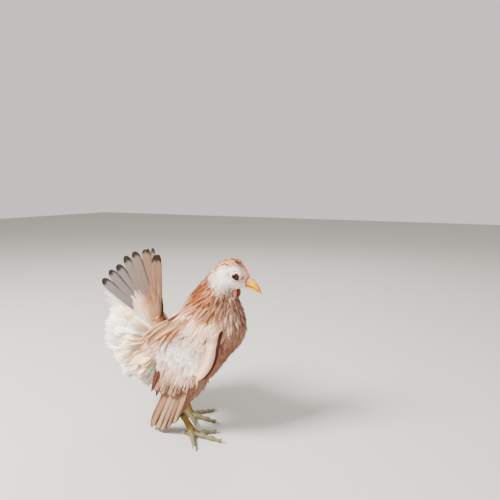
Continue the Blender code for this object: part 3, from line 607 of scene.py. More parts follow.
def feathers(name, pattern, spines, outwards, half_widths, tints, material, slot, shade,
             uvs=None, camber=0.25, thickness=0.0, ridge=0.16, strip=False, turns=1.0):
    """One mesh of a feather for each spine. shade(u, v, tints) gives the colour over a feather,
    turns is -1 for a feather whose markings are mirrored, and strip gives each feather a strip
    of the unwrap to itself, not a patch at its root."""
    flat, faces = pattern
    count, stations = spines.shape[:2]
    u, v = flat[:, 0], flat[:, 1]
    at = u * (stations - 1)
    low = np.minimum(at.astype(int), stations - 2)
    share = (at - low)[None, :, None]
    middle, ahead, outward = (
        between(rows[:, low], rows[:, low + 1], share)
        for rows in (spines, unit(np.gradient(spines, axis=1)), outwards)
    )
    across = unit(np.cross(outward, ahead))
    up = unit(np.cross(ahead, across))
    wide = np.asarray(half_widths)[:, None, None] * MM
    rise = -camber * v[None, :, None] ** 2 * wide
    if thickness:
        near_shaft = np.where(np.abs(v) < 0.1, ridge, 0.0) * (1 - u)
        sheet = np.where(np.arange(len(flat)) < len(flat) // 2, 0.5, -0.5) * thickness
        rise = rise + ((sheet + np.sign(sheet) * near_shaft) * MM)[None, :, None]
    points = middle + across * v[None, :, None] * wide + up * rise
    mesh = bpy.data.meshes.new(name)
    corners = (faces[None] + (np.arange(count) * len(flat))[:, None, None]).reshape(-1)
    mesh.vertices.add(count * len(flat))
    mesh.vertices.foreach_set("co", points.reshape(-1))
    mesh.loops.add(len(corners))
    mesh.loops.foreach_set("vertex_index", corners)
    mesh.polygons.add(len(corners) // 3)
    mesh.polygons.foreach_set("loop_start", np.arange(0, len(corners), 3))
    mesh.update(calc_edges=True)
    vane = np.tile(np.column_stack([u, v * 0.5 + 0.5]), (count, 1))
    if strip:
        order = (np.arange(count) + 0.5)[:, None] / count
        along = u * (1 - 2 * STRIP_MARGIN) + STRIP_MARGIN
        patch = np.stack(np.broadcast_arrays(along, order + v * STRIP_WIDTH / count), -1)
    else:
        uvs = skin_uv(spines[:, 0]) if uvs is None else uvs
        patch = uvs[:, None] + PATCH_SIZE * np.column_stack([u - 0.5, v * 0.5])[None]
    for title, values in (("Vane", vane), ("OFBake", patch.reshape(-1, 2))):
        layer = mesh.uv_layers.new(name=title)
        layer.data.foreach_set("uv", values[corners].astype(np.float32).ravel())
    turned = v[None, :, None] * np.reshape(turns, (-1, 1, 1))
    tint_mesh(mesh, clipped(shade(u[None, :, None], turned, tints[:, None])).reshape(-1, 3))
    obj = bpy.data.objects.new(name, mesh)
    bpy.context.scene.collection.objects.link(obj)
    return settle(obj, name, material, slot)


def laid(points, normals, ways, lengths, lifts, lie_at, stations=4, follow=0.5):
    """Spines that start in the skin and lie along it, rising by lifts to their tips."""
    spines, outwards = [points - normals * ROOT_SINK * MM], [normals]
    here, normal, way = points, normals, ways
    for station in range(1, stations):
        way = unit(way - normal * (way * normal).sum(1, keepdims=True))
        here = here + way * (lengths / (stations - 1))[:, None] * MM
        found = [skin_tree.find_nearest(spot) for spot in here.tolist()]
        here = np.array([f[0] for f in found])
        normal = unit(normal * WAY_KEPT + np.array([f[1] for f in found]))
        spines.append(here + normal * (lifts * station / (stations - 1))[:, None] * MM)
        outwards.append(normal)
        lie = lie_at(here)
        new = np.column_stack([lie[:, 0], np.zeros(len(here)), lie[:, 1]])
        way = way * (1 - follow) + unit(new) * follow
    return np.stack(spines, 1), np.stack(outwards, 1)


# %% [markdown]
# A feather isn't one flat colour. Its root, dim under its neighbours, and often its edges carry
# painted shade in a warmer tone, and its shaft is paler. Each shade below is one such run of colour,
# for one kind of feather.

# %% Shades
def dimmed(amount, *shares):
    """A factor for red, green and blue that falls by these shares as the amount goes to 1."""
    return 1 - amount * np.array(shares)


def edge_of(v, start, gain):
    return clipped((np.abs(v) - start) * gain)


def stripe_of(v, gain):
    return clipped(1 - np.abs(v) * gain)


def soft_shade(u, v, tints):
    """Painted shade at the root, which lies under its neighbours. Of a small feather only the last third shows, so
    the change lies there.
    """
    return tints * dimmed(clipped((1 - u) / 0.5), 0.36, 0.42, 0.45)


def oval_shade(u, v, tints):
    """Painted shade at the root and at the edges, where coverts lap each other, so that each shows as an oval of its
    own.
    """
    edge = clipped(np.abs(v) * u) ** 3
    return tints * dimmed(clipped((1 - u) / 0.45), 0.48, 0.54, 0.56) * dimmed(edge, 0.2, 0.26, 0.28)


def plume_shade(u, v, tints):
    """For a long feather, most of which shows: painted shade at its root and a little at its edges."""
    return tints * dimmed(clipped((0.8 - u) / 0.7) ** 1.3, 0.3, 0.42, 0.54) * (1 - 0.35 * np.abs(v) ** 3)


# A long feather with painted shade towards its root and at its edges.
def long_shade(u, v, tints):
    return tints * (0.86 + 0.14 * u) * dimmed(edge_of(v, 0.5, 2), 0.14, 0.2, 0.24)


def fading(u, v, tints):
    """Nearly white at the root and the feather's own colour at the tip, with painted shade at its edges."""
    pale = clipped(1 - (u - 0.35) * 2.2)
    return between(tints, PEARL, pale) * dimmed(edge_of(v, 0.4, 1.6), 0.16, 0.26, 0.34)


def streaked(u, v, tints):
    """A pale stripe along the shaft between warmer edges, as on hackles, with painted shade towards the root, where
    locks lie over each other.
    """
    return tints * (0.4 + 0.6 * u**1.6) * (1 + stripe_of(v, 2.4) * np.array((0.25, 0.42, 0.5)))


def brushed(u, v, tints):
    """A lock of nearly one colour, as on the breast, with a little painted shade towards its root."""
    return tints * (0.86 + 0.2 * u**1.4) * (1 + 0.12 * stripe_of(v, 2))


def paler(u, v, tints):
    """A lock with painted shade at its root, growing paler towards its end."""
    return tints * (0.76 + u**1.5 * np.array((0.38, 0.46, 0.5))) * (1 + 0.2 * stripe_of(v, 2))


def ringed(u, v, tints):
    """A scute, dark where the next one laps it."""
    return tints * (1.12 - 0.6 * u**3)


def clumps(points, size):
    """Smooth noise from about -1 to 1, so that neighbouring feathers change together."""
    return np.array([noise.noise(Vector(spot)) for spot in (points / (size * MM)).tolist()]) * 1.6


def shadowed(points, size):
    """A factor of painted shade that dips over clumps of feathers that lie a little deeper."""
    return dimmed(clipped(clumps(points, size))[:, None], 0.32, 0.38, 0.41)


# %% [markdown]
# The coat is laid in a few pieces: the short face and crown, the long hackles of the neck, the
# breast, the back and saddle, the belly with the thighs, and the small coverts on the wing arms.
# Each has its own spacing, because feathers are smallest on the face and longest on the saddle.

# %% The body's coat
PALE, PLUMAGE, DOWN = (body_finish, "pale_plumage"), (body_finish, "plumage"), (down_finish, "pale_plumage")
EYE_PLACE, EYE_BARE = (44.6, 8.0, 155.8), 3.3
COLLAR, WAIST = (46, 133, 2, 156), (50, 112, -24, 102)
ARM_DEPTH, ARM_LEAST_OUT, ARM_X, ARM_Z, THIGH_TOP, RUMP_START = 6.5, 12, (-34, 38), (48, 120), 46, -32


def above(x, z, x_a, z_a, x_b, z_b):
    """How far a place lies on the left of the line from a to b, in millimetres."""
    length = math.hypot(x_b - x_a, z_b - z_a)
    return ((x_b - x_a) * (z - z_a) - (z_b - z_a) * (x - x_a)) / length


def parts_of(points, normals):
    """For each part of the coat, which of the places belong to it."""
    x, y, z = flat_of(points)
    bare = np.hypot(x - EYE_PLACE[0], z - EYE_PLACE[2]) < EYE_BARE
    far_out = np.abs(y) > np.maximum(wing_out(np.stack([x, z], -1)) - ARM_DEPTH, ARM_LEAST_OUT)
    arm = far_out & (x > ARM_X[0]) & (x < ARM_X[1]) & (z > ARM_Z[0]) & (z < ARM_Z[1])
    over_collar, over_waist = above(x, z, *COLLAR), above(x, z, *WAIST)
    return {
        "head": (over_collar < 0) & ~bare & (x < 56.5),
        "neck": (over_collar >= 0) & (over_waist < 0) & ~arm,
        "body": (over_waist >= 0) & (z > THIGH_TOP) & (x > RUMP_START) & ~arm,
        "thigh": (z <= THIGH_TOP) & (x > -45) & (np.abs(y) > 2) & ~arm,
        "rump": (x <= RUMP_START) & (z > THIGH_TOP) & ~arm,
        "outer arm": arm & (normals[:, 1] * np.sign(points[:, 1]) > 0.6),
    }


def body_coat(name, pattern, spacing, part, look, loose=0.15, lift=1.0, size=1.0, shade=soft_shade,
              mottle=0.07, lie_at=plumage_at, slim=1.0):
    """Feathers over one part of the skin. loose turns them about, and mottle changes their colours."""
    points, normals, uvs = scattered(spacing, part)
    count = len(points)
    local = lie_at(points)
    ways = np.column_stack([local[:, 0], varied(count, -loose, loose), local[:, 1]])
    ways += random.normal(0, loose * 0.5, ways.shape)
    ways[:, 1] += clumps(points, 9) * 0.25
    ways[:, 0] += clumps(points + 0.05, 9) * 0.2
    lengths = local[:, 2] * size * varied(count, 0.85, 1.15)
    lifts = lift * (0.5 + lengths * 0.1) * varied(count, 0.7, 1.3)
    spines, outwards = laid(points, normals, unit(ways), lengths, lifts, lie_at)
    change = 1 - mottle * (random.normal(0, 0.7, count) + 0.8 * clumps(points, 4))
    tints = local[:, 4:] ** np.maximum(change, 0.5)[:, None] * (1 + random.normal(0, 0.02, (count, 3)))
    halves = local[:, 3] * size * slim * varied(count, 0.85, 1.15)
    feathers(name, pattern, spines, outwards, halves, tints, *look, shade, uvs=uvs)


body_coat("face_coat", small_feather, 0.85, "head", PALE, lift=0.8, mottle=0.42)
body_coat("hackle_coat", hackle_feather, 1.7, "neck", PLUMAGE, shade=streaked, mottle=0.14)
body_coat("hackle_locks", hackle_feather, 3.6, "neck", PLUMAGE, shade=paler, mottle=0.22, size=1.4,
          lift=1.9, loose=0.12, slim=0.75)
body_coat("breast_coat", hackle_feather, 2.0, "body", PLUMAGE, shade=brushed, mottle=0.1, lift=1.8, loose=0.3)
body_coat("breast_locks", hackle_feather, 3.4, "body", PLUMAGE, shade=brushed, mottle=0.08, size=1.4,
          lift=1.9, loose=0.2, slim=0.72)
body_coat("thigh_coat", body_feather, 1.5, "thigh", PLUMAGE, loose=0.25)
body_coat("rump_coat", body_feather, 2.4, "rump", DOWN, loose=0.5, lift=2.0)

# %% Skin finish
tint_mesh(skin.data, plumage_at(skin_points)[:, 4:] * 0.8)
skin_finish, tree, shader = new_material("feathered_skin", 0.85)
tinted(tree, shader, 1.0)
settle(skin, "skin", skin_finish, "plumage", *FLESH)

# %% [markdown]
# The arm of a folded wing is covered by broad soft coverts that hide each other's roots. Even rows
# would show as steps, so their roots are shaken out of line, and they are longer towards the
# flight feathers. Only the outer side of the arm is seen, so only that side is covered.

# %% The coverts on the arms
WING_PATCHES = (
    (27, 108, 7, -0.35, -0.94, 8, 2.6, PEARL),
    (-4, 108, 7, -0.75, -0.65, 9, 2.6, SADDLE),
    (28, 94, 8, -0.25, -0.97, 10, 3.0, PEARL),
    (10, 94, 9, -0.42, -0.9, 11, 3.5, WHITE),
    (-12, 90, 8, -0.5, -0.86, 11, 3.2, WHITE),
    (20, 78, 8, -0.38, -0.92, 12, 3.4, WHITE),
    (0, 76, 9, -0.38, -0.92, 13, 3.7, PEARL),
    (-18, 76, 8, -0.38, -0.92, 14, 3.3, CREAM),
)


def wing_at(points):
    """Lie, sizes and colour of the feathers at places on a wing. The rows are for the right wing,
    so places on the left are swung back."""
    x, y, z = flat_of(points)
    turn = np.where(y > 0, math.radians(WING_SWING["left"]), 0)
    sine, cosine = np.sin(turn), np.cos(turn)
    back, up = x - WING_SHOULDER[0] - np.where(y > 0, WING_SHIFT["left"], 0), z - WING_SHOULDER[1]
    back, up = rotated(back, up, -sine, cosine)
    found = mixed_rows(WING_PATCHES, back + WING_SHOULDER[0], up + WING_SHOULDER[1])
    found[:, :2] = np.stack(rotated(found[:, 0], found[:, 1], sine, cosine), 1)
    return found


body_coat("arm_coat", body_feather, 2.2, "outer arm", PALE, lift=0.4, lie_at=wing_at, size=0.6)

COVERT_SPACING, COVERT_START, COVERT_SINK, COVERT_LOWEST, COVERT_RISE = 3.6, 0.14, 1.6, 0.9, 0.05
COVERT_ROW_STEP, COVERT_SHAKE, COVERT_SAG, COVERT_STATIONS, LOWEST_ROOT = 0.3, 0.3, 0.8, 6, 77


def wing_normals(flat, sign):
    """The way out of the wing's surface at places given as x and z."""
    step = np.array(((0.5, 0), (0, 0.5)))
    slope_x, slope_z = (wing_out(flat + way) - wing_out(flat - way) for way in step)
    return unit(np.stack([-slope_x, np.full(slope_x.shape, float(sign)), -slope_z], -1))


def risen(start, end, stations, part):
    """Lifts off the wing along a feather, from start at its root to end from this part of it on."""
    return between(start, end, np.minimum(np.linspace(0, 1, stations) / part, 1))


def covert_roots():
    """Roots of the coverts, spread over the upper arm in staggered rows and shaken out of line."""
    found = []
    for row in np.arange(0, len(WING_PAD) - 1, COVERT_ROW_STEP):
        lead, trail = blended(WING_PAD, row).reshape(2, 2)
        count = int(math.dist(lead, trail) / COVERT_SPACING)
        share = COVERT_START + (1 - COVERT_START) * (np.arange(count) + random.random()) / count
        found.append(between(lead, trail, share[:, None]))
    found = np.vstack(found)
    found += random.normal(0, COVERT_SPACING * COVERT_SHAKE, found.shape)
    return found[found[:, 1] > LOWEST_ROOT + 0.1 * np.abs(found[:, 0] - 8)]


for side, sign in SIDES:
    roots = covert_roots()
    count, share = len(roots), even(COVERT_STATIONS)
    local = mixed_rows(WING_PATCHES, *roots.T)
    ways = unit(local[:, :2] + random.normal(0, 0.07, (count, 2)))
    lengths = (local[:, 2] * varied(count, 1.05, 1.5))[:, None, None]
    flat = swung(roots[:, None] + ways[:, None] * lengths * share - np.array((0, COVERT_SAG)) * share**2, side)
    lift = COVERT_LOWEST + COVERT_RISE * (roots[:, 1] - 76) + varied(count, 0, 0.9)
    spines = on_wing(flat, sign, risen(-COVERT_SINK, lift[:, None], COVERT_STATIONS, 0.45))
    spots = places(xyz(roots[:, 0], sign * 30, roots[:, 1]))
    # dull mixes in pearl at random and over clumps, partly as painted shade; shadowed adds painted shade over deeper
    # clumps.
    dull = np.clip(random.normal(0.08, 0.32, count) + 0.25 * clumps(spots, 7), 0, 0.95)[:, None]
    feathers(f"wing_coverts_{side}", covert_feather, spines, wing_normals(flat, sign),
             local[:, 3] * varied(count, 0.9, 1.15), between(local[:, 4:], PEARL, dull) * shadowed(spots, 9),
             *PALE, oval_shade, camber=0.42)
print(count, "coverts on a wing")

# %% [markdown]
# The wing's firm feathers hang below the coverts in fans: primaries lowest, then secondaries and
# a dark tertial behind. Long coverts fold over the wrist in front. Each feather's front edge is
# laid over the one behind it.

# %% The wings
PINK_CREAM, RUST_BROWN, TIP_BROWN = linear(138, 106, 82), linear(88, 48, 34), linear(36, 20, 14)
# The second colour of this line is a dark rust: the rear coverts' own colour, and painted shadow under the wrist
# coverts and the shoulder plumes.
STREAM, DARK_RUST_AND_SHADOW = linear(140, 106, 84), linear(74, 38, 24)
# The primaries, the secondaries and the tertials, each with its count, first and last tip, first
# and last root, half widths, lifts at root and tip, tilt, sag and colour.
FLIGHT_TIERS = (
    (5, (-15, 14.5), (-41, 4.5), (5, 62), (-12, 60), (5.6, 4.8), (-3.9, -3.9), 0.12, 7, PINK_CREAM),
    (12, (8, 52), (-30, 43), (20, 80), (-15, 78), (4.1, 3.8), (-1.3, -0.6), 0.1, 3, STREAM),
    (2, (-31, 40), (-36, 39), (-12, 90), (-16, 92), (2.6, 2.2), (-1.4, -0.6), 0.1, 0, RUST_BROWN),
)
LOBE_PATH = ((33, 108), (31.5, 97), (30.5, 87), (27, 76), (19.5, 64))
LOBE_ORDER, LOBE_LIFTS = (3, 2, 0, 1), (2.4, 2.9, 1.6, 3.6)
LOBE_SINK, LOBE_STEP, LOBE_HALF_WIDTH = 0.8, (-2.0, 0.7), 3.7


def tier_spines(side, sign, tier, stations=8):
    """Spines, outward ways and half widths of the feathers of one tier."""
    count, tip_a, tip_b, root_a, root_b, half_widths, lifts, tilt, sag, _ = tier
    order = np.linspace(0, 1, count)[:, None]
    roots, tips = between(root_a, root_b, order), between(tip_a, tip_b, order)
    tips[:, 1] -= sag * np.sin(math.pi * order[:, 0])
    tips += random.normal(0, 1.3, tips.shape)
    flat = swung(between(roots[:, None], tips[:, None], even(stations)), side)
    spines, outwards = on_wing(flat, sign, risen(*lifts, stations, 0.35)), wing_normals(flat, sign)
    front = unit(np.cross(outwards, unit(np.gradient(spines, axis=1))))
    front = np.where(front[..., :1] < 0, -front, front)
    return spines, unit(outwards - front * tilt), between(*half_widths, order[:, 0]) * varied(count, 0.88, 1.1)


def edged(u, v, tints):
    """A pale vane, warmer behind its shaft, with thin dark edges and a darker tip."""
    line, tip = edge_of(v, 0.6, 5) * clipped(u * 2.5 - 1), clipped((u - 0.93) * 12)
    dark = np.clip(0.95 * line + 0.7 * tip, 0, 0.95)
    vane = tints * dimmed(clipped(0.3 - v * 2), 0.22, 0.34, 0.4) * (0.84 + 0.16 * u)
    return between(vane * (1 + 0.2 * stripe_of(v, 14)), TIP_BROWN, dark)


def tiers(side, sign):
    """All the flight feathers of a wing: spines, outward ways, half widths and tints."""
    rows = [tier_spines(side, sign, tier) for tier in FLIGHT_TIERS]
    tints = np.repeat([tier[-1] for tier in FLIGHT_TIERS], [tier[0] for tier in FLIGHT_TIERS], axis=0)
    return *stacked(rows), tints ** (1 + random.normal(0, 0.1, (len(tints), 1)))


def lobe_spines(side, sign, stations=9):
    """The feathers that curve down over the wrist. The third is a dark one under the front edge: painted shadow
    there.
    """
    path = np.array([blended(LOBE_PATH, at) for at in np.linspace(0, len(LOBE_PATH) - 1, stations)])
    behind = np.array(LOBE_ORDER)[:, None, None] - 1
    flat = swung(path + behind * np.array(LOBE_STEP) * np.linspace(1, 0.6, stations)[:, None], side)
    lift = risen(-LOBE_SINK, np.array(LOBE_LIFTS)[:, None], stations, 0.35)
    return on_wing(flat, sign, lift), wing_normals(flat, sign)


for side, sign in SIDES:
    made = feathers(f"flight_feathers_{side}", flight_feather, *tiers(side, sign), vane_finish, "pale_plumage",
                    edged, turns=-sign, camber=0.05, thickness=0.3, strip=True)
    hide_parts(f"wing_{side}")
    spines, outwards = lobe_spines(side, sign)
    halves = np.full(len(spines), LOBE_HALF_WIDTH)
    # The third, dark feather is painted shadow under the front edge of the wrist.
    tints = np.array((PEARL, PEARL, DARK_RUST_AND_SHADOW, PEARL)) * varied(len(spines), 0.82, 1.0)[:, None]
    feathers(f"wrist_coverts_{side}", lobe_feather, spines, outwards, halves, tints, *PALE, long_shade,
             camber=0.45, thickness=0.3, ridge=0.1, strip=True)
    feathers(f"wrist_barbs_{side}", stream_feather, spines + outwards * 0.25 * MM, outwards, halves * 1.05, tints,
             *PALE, long_shade, camber=0.45, strip=True)

# %% [markdown]
# Three softer layers hide the steps between the rows of a wing. Long coverts stream down over the
# secondaries, rusty feathers fill the rear edge, and the ends of the hackles fall over the
# shoulder. All of them are laid on the wing's surface from a row of roots to a row of tips.

# %% The soft layers of the wings
def strewn(count, roots, tips, root_spread, tip_spread):
    """Roots and tips in order along two lines, each shaken by its own spread."""
    order = np.sort(random.random(count))[:, None]
    return [between(*line, order) + random.normal(0, spread, (count, 2))
            for line, spread in ((roots, root_spread), (tips, tip_spread))]


def arch(stations):
    return np.sin(math.pi * np.linspace(0, 1, stations))


def wing_layer(name, side, sign, pattern, count, roots, tips, scatter, half_width, lift, bow, tints, shade,
               stations=7):
    """Long feathers on a wing, from a line of roots to a line of tips, bowed up by bow."""
    starts, ends = strewn(count, roots, tips, scatter * 0.5, scatter)
    flat = between(starts[:, None], ends[:, None], even(stations))
    flat[..., 1] += bow * arch(stations)
    flat = swung(flat, side)
    height = risen(-1.5, (lift + varied(count, 0, 0.7))[:, None], stations, 0.3)
    colours = between(*tints, random.random((count, 1)))
    feathers(f"{name}_{side}", pattern, on_wing(flat, sign, height), wing_normals(flat, sign),
             half_width * varied(count, 0.8, 1.15), colours, *PALE, shade, strip=True)


for side, sign in SIDES:
    wing_layer("long_coverts", side, sign, stream_feather, 56, ((21, 88), (-17, 84)), ((12, 57), (-27, 50)),
               3.8, 1.7, -0.2, 0.5, (STREAM, PEARL), fading)
    wing_layer("rear_coverts", side, sign, long_plume, 22, ((-12, 94), (-19, 90)), ((-25, 62), (-35, 46)),
               1.6, 1.7, -0.2, -1.0, (DARK_RUST_AND_SHADOW, RUST_BROWN), streaked)
    wing_layer("shoulder_hackles", side, sign, hackle_feather, 60, ((36, 112), (-2, 124)), ((31, 98), (-14, 106)),
               2.6, 1.7, 2.6, 1.0, (PEARL, SADDLE), paler)

# %% [markdown]
# Long narrow plumes sweep back from the shoulders over the root of the wing. Pale ones lie over
# rusty ones, whose colour between them is partly their own rust and partly painted shadow. The
# lowest are darker still, as painted shadow under the plumes; on the hidden left side they are ginger.

# %% The shoulder plumes
PLUMES, PLUME_ROOTS, PLUME_TIPS = 60, ((12, 119), (-16, 112)), ((-20, 93), (-47, 85))
PLUME_SWING, PLUME_STATIONS, HIGH_BOW, HIGH_LEVEL, LOW_LEVEL = 0.35, 8, 2.6, 0.56, 0.22
PLUME_DROP, PAINTED_SHADOW_PLUME = {"right": 0, "left": 4}, {"right": DARK_RUST_AND_SHADOW, "left": GINGER}
for side, sign in SIDES:
    roots, tips = strewn(PLUMES, PLUME_ROOTS, PLUME_TIPS, 1.5, 3.2)
    roots[:, 1] -= PLUME_DROP[side]
    flat = swung(between(roots[:, None], tips[:, None], even(PLUME_STATIONS)), side, PLUME_SWING)
    bow, level = varied(PLUMES, 0, 5)[:, None], varied(PLUMES, 0, 1)[:, None]
    flat[..., 1] += bow * arch(PLUME_STATIONS)
    spines = on_wing(flat, sign, risen(-1, 2.2 + 2.6 * level, PLUME_STATIONS, 0.3))
    outwards = unit(np.tile((0.0, float(sign), 0.35), (*spines.shape[:2], 1)))
    # The lowest plumes carry painted shadow under the bundle; those that bow high keep the saddle colour.
    tints = np.where(level > HIGH_LEVEL, PLUME, np.where(level > LOW_LEVEL, RUST, PAINTED_SHADOW_PLUME[side]))
    tints = np.where((bow > HIGH_BOW) & (level <= HIGH_LEVEL), SADDLE, tints)
    tints = tints ** (1 + random.normal(0, 0.26, (PLUMES, 1)))
    feathers(f"shoulder_plumes_{side}", long_plume, spines, outwards, varied(PLUMES, 0.9, 2.0), tints,
             *PLUMAGE, streaked, strip=True)

# %% [markdown]
# The tail stands straight up in two walls of long vanes, one on each side. Soft coverts cover
# the lower part of the fan.

# %% The tail
TAIL_TIPS = (
    (-48, 169.5), (-59, 174.5), (-70, 171), (-79, 166), (-87, 159), (-93.5, 152), (-101, 142.5),
)
TAIL_ROOT, TAIL_ROOT_OUT = (-47, 93), 1.2
TAIL_FIRST_OUT, TAIL_STEP_OUT, TAIL_HALF_WIDTH, TAIL_ROLL = 2.6, 3.2, 5.2, 0.36
TAIL_GREY, TAIL_WARM, TAIL_DARK = linear(102, 91, 88), linear(114, 86, 66), linear(8, 6, 5)


def fan_spines(roots, tips, signs, stations=8):
    """Straight spines of upright feathers that face out to their side, rolled a little back."""
    along = tips - roots
    behind = xyz(-along[:, 2], signs * TAIL_ROLL * np.linalg.norm(along, axis=1), along[:, 0])
    outwards = unit(np.cross(unit(along), unit(behind)))
    outwards *= np.sign(outwards[:, 1] * signs)[:, None]
    return places(between(roots[:, None], tips[:, None], even(stations))), np.repeat(outwards[:, None], stations, 1)


def dark_tipped(u, v, tints):
    """A rounded dark spot at the tip, and a dark line behind the shaft or a rusty one before it."""
    ragged = 0.011 * np.sin(7 * v + 900 * tail_spots) + 0.006 * np.sin(17 * v + 400 * tail_spots)
    spot = clipped((u - tail_spots + 0.02 * v**2 + ragged) * 34)
    behind = clipped((-v - 0.62) * 5) * clipped((u - 0.3) * 3) * 0.85 * (1 - tail_warmth)
    rusty = stripe_of(v - 0.35, 5) * clipped(1.6 - u * 1.5) * 0.8 * tail_warmth
    vane = tints * (0.84 + 0.16 * u) * (1 - 0.15 * stripe_of(v, 14))
    return between(between(vane, RUST, rusty), TAIL_DARK, np.clip(spot * 0.92 + behind, 0, 0.93))


order, tail_signs = np.tile(np.arange(len(TAIL_TIPS)), 2), np.repeat((-1.0, 1.0), len(TAIL_TIPS))
tail_roots = xyz(TAIL_ROOT[0], tail_signs * TAIL_ROOT_OUT, TAIL_ROOT[1])
tip_x, tip_z = np.tile(TAIL_TIPS, (2, 1)).T
tail_tips = xyz(tip_x, tail_signs * (TAIL_FIRST_OUT + TAIL_STEP_OUT * order), tip_z)
tail_tips += random.normal(0, 0.9, tail_tips.shape)
tail_spots = random.uniform(0.9, 0.945, (len(tail_signs), 1, 1))
tail_warmth = np.maximum(1 - order / 4, 0)[:, None, None]
spines, outwards = fan_spines(tail_roots, tail_tips, tail_signs)
tail_fan = feathers("tail_fan", tail_vane, spines, outwards, TAIL_HALF_WIDTH * varied(len(order), 0.85, 1.08),
                    between(TAIL_GREY, TAIL_WARM, tail_warmth[:, 0]), vane_finish, "tail_feather", dark_tipped,
                    turns=-tail_signs, camber=0.05, thickness=0.35, strip=True)
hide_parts("tail")

# %% [markdown]
# Soft coverts hide the roots of the tail. They stand in rows outside the vanes, each row shorter
# and further out than the last, and the first of them has feathers only at the back. They pale
# from ginger buff in front to white behind.

# %% The coverts of the tail
LOW_DOWN, COVERT_FAN_END = linear(208, 196, 180), 1.24
# share of a vane's length, how far outside the vane, how many on a side, half width, first place
TAIL_COVERT_ROWS = (
    (0.78, 0.8, 8, 4.4, 0.66), (0.62, 1.2, 16, 3.6, -0.02), (0.52, 2.4, 15, 4.0, -0.02), (0.4, 3.6, 13, 4.4, -0.02),
)
from_root = (np.array(TAIL_TIPS) - TAIL_ROOT).T
tip_angle, tip_reach = np.arctan2(from_root[1], from_root[0]), np.hypot(*from_root)
rows = []
for share_out, extra, count, half_width, first_place in TAIL_COVERT_ROWS:
    for _, sign in SIDES:
        at = np.linspace(first_place, COVERT_FAN_END, count) + random.normal(0, 0.02, count)
        angles = between(tip_angle[0], tip_angle[-1], at)
        reach = np.interp(angles, tip_angle, tip_reach) * share_out * varied(count, 0.84, 1.08) * (1 + 0.14 * at)
        out = sign * (TAIL_ROOT_OUT + TAIL_STEP_OUT * 6 * at * share_out + extra)
        rows.append((
            xyz(TAIL_ROOT[0] - 2, np.full(count, sign * (TAIL_ROOT_OUT + extra)), TAIL_ROOT[1] - 3),
            xyz(TAIL_ROOT[0] + np.cos(angles) * reach, out, TAIL_ROOT[1] + np.sin(angles) * reach),
            np.full(count, float(sign)), half_width * varied(count, 0.85, 1.1), clipped(at),
        ))
roots, tips, signs, halves, paleness = stacked(rows)
tints = np.stack([
    np.interp(paleness, (0, 0.35, 0.7, 1), values) for values in zip(PEACH, SADDLE, PEARL, LOW_DOWN)
], 1) ** (1 + random.normal(0, 0.07, (len(signs), 1)))
feathers("tail_coverts", soft_feather, *fan_spines(roots, tips, signs, stations=7), halves, tints,
         *DOWN, plume_shade, camber=0.3)

# %% [markdown]
# Behind the legs the hen carries a rosette of broad soft feathers. They spread from a point
# inside her body, in tiers that grow shorter towards the sides, and they are the fluffiest part.

# %% The fluff
FLUFF_CENTRE, FLUFF_STATIONS, FLUFF_BOW, FLUFF_TIER_OUT = (-30, 85), 7, 1.5, 0.8
# angles in degrees, and how far the fluff reaches at each
FLUFF_REACH = (
    (150, 160, 170, 179, 187, 200, 210, 222, 233, 246),
    (78, 82, 84, 84.5, 80, 79, 74, 67, 62, 55),
)
# spread to the side in degrees, share of the reach, first and last angle, how many
FLUFF_TIERS = (
    (2, 1.0, 155, 246, 13),
    (6, 0.98, 158, 242, 13),
    (11, 0.94, 158, 240, 12),
    (16, 0.86, 156, 236, 11),
    (21, 0.74, 158, 230, 10),
    (26, 0.6, 158, 224, 8),
)
rows = []
for tier, (sideways, share_out, first, last, count) in enumerate(FLUFF_TIERS):
    for _, sign in SIDES:
        angles = np.linspace(first, last, count) + varied(count, -2.5, 2.5) + 2 * sign
        reach = np.interp(angles, *FLUFF_REACH) * share_out * varied(count, 0.94, 1.0)
        turn, swing = np.radians(angles), math.radians(sideways)
        way = xyz(np.cos(turn) * math.cos(swing), sign * math.sin(swing), np.sin(turn) * math.cos(swing))
        centre = np.array((FLUFF_CENTRE[0], sign * tier * FLUFF_TIER_OUT, FLUFF_CENTRE[1]))
        flat = centre + (way * reach[:, None])[:, None] * (0.4 + 0.6 * even(FLUFF_STATIONS))
        flat[..., 1] += sign * FLUFF_BOW * arch(FLUFF_STATIONS)
        out = unit(np.cross(way, xyz(-np.sin(turn), sign * 0.2, np.cos(turn))))
        out *= np.sign(out[:, 1] * sign)[:, None]
        rows.append((places(flat), np.repeat(out[:, None], FLUFF_STATIONS, 1), varied(count, 7.5, 9.5)))
fluff_spines, fluff_outwards, halves = stacked(rows)
tints = WHITE * (1 + random.normal(0, 0.04, (len(halves), 1)))
fluff = feathers("fluff_feathers", soft_feather, fluff_spines, fluff_outwards, halves, tints,
                 *DOWN, plume_shade, camber=0.3)
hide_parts("fluff")

# %% [markdown]
# Smaller soft feathers lie on these broad ones and break them up. Each starts at a place along
# a broad feather's spine and keeps nearly its way. Those near the body are buff, those at the
# edge white.

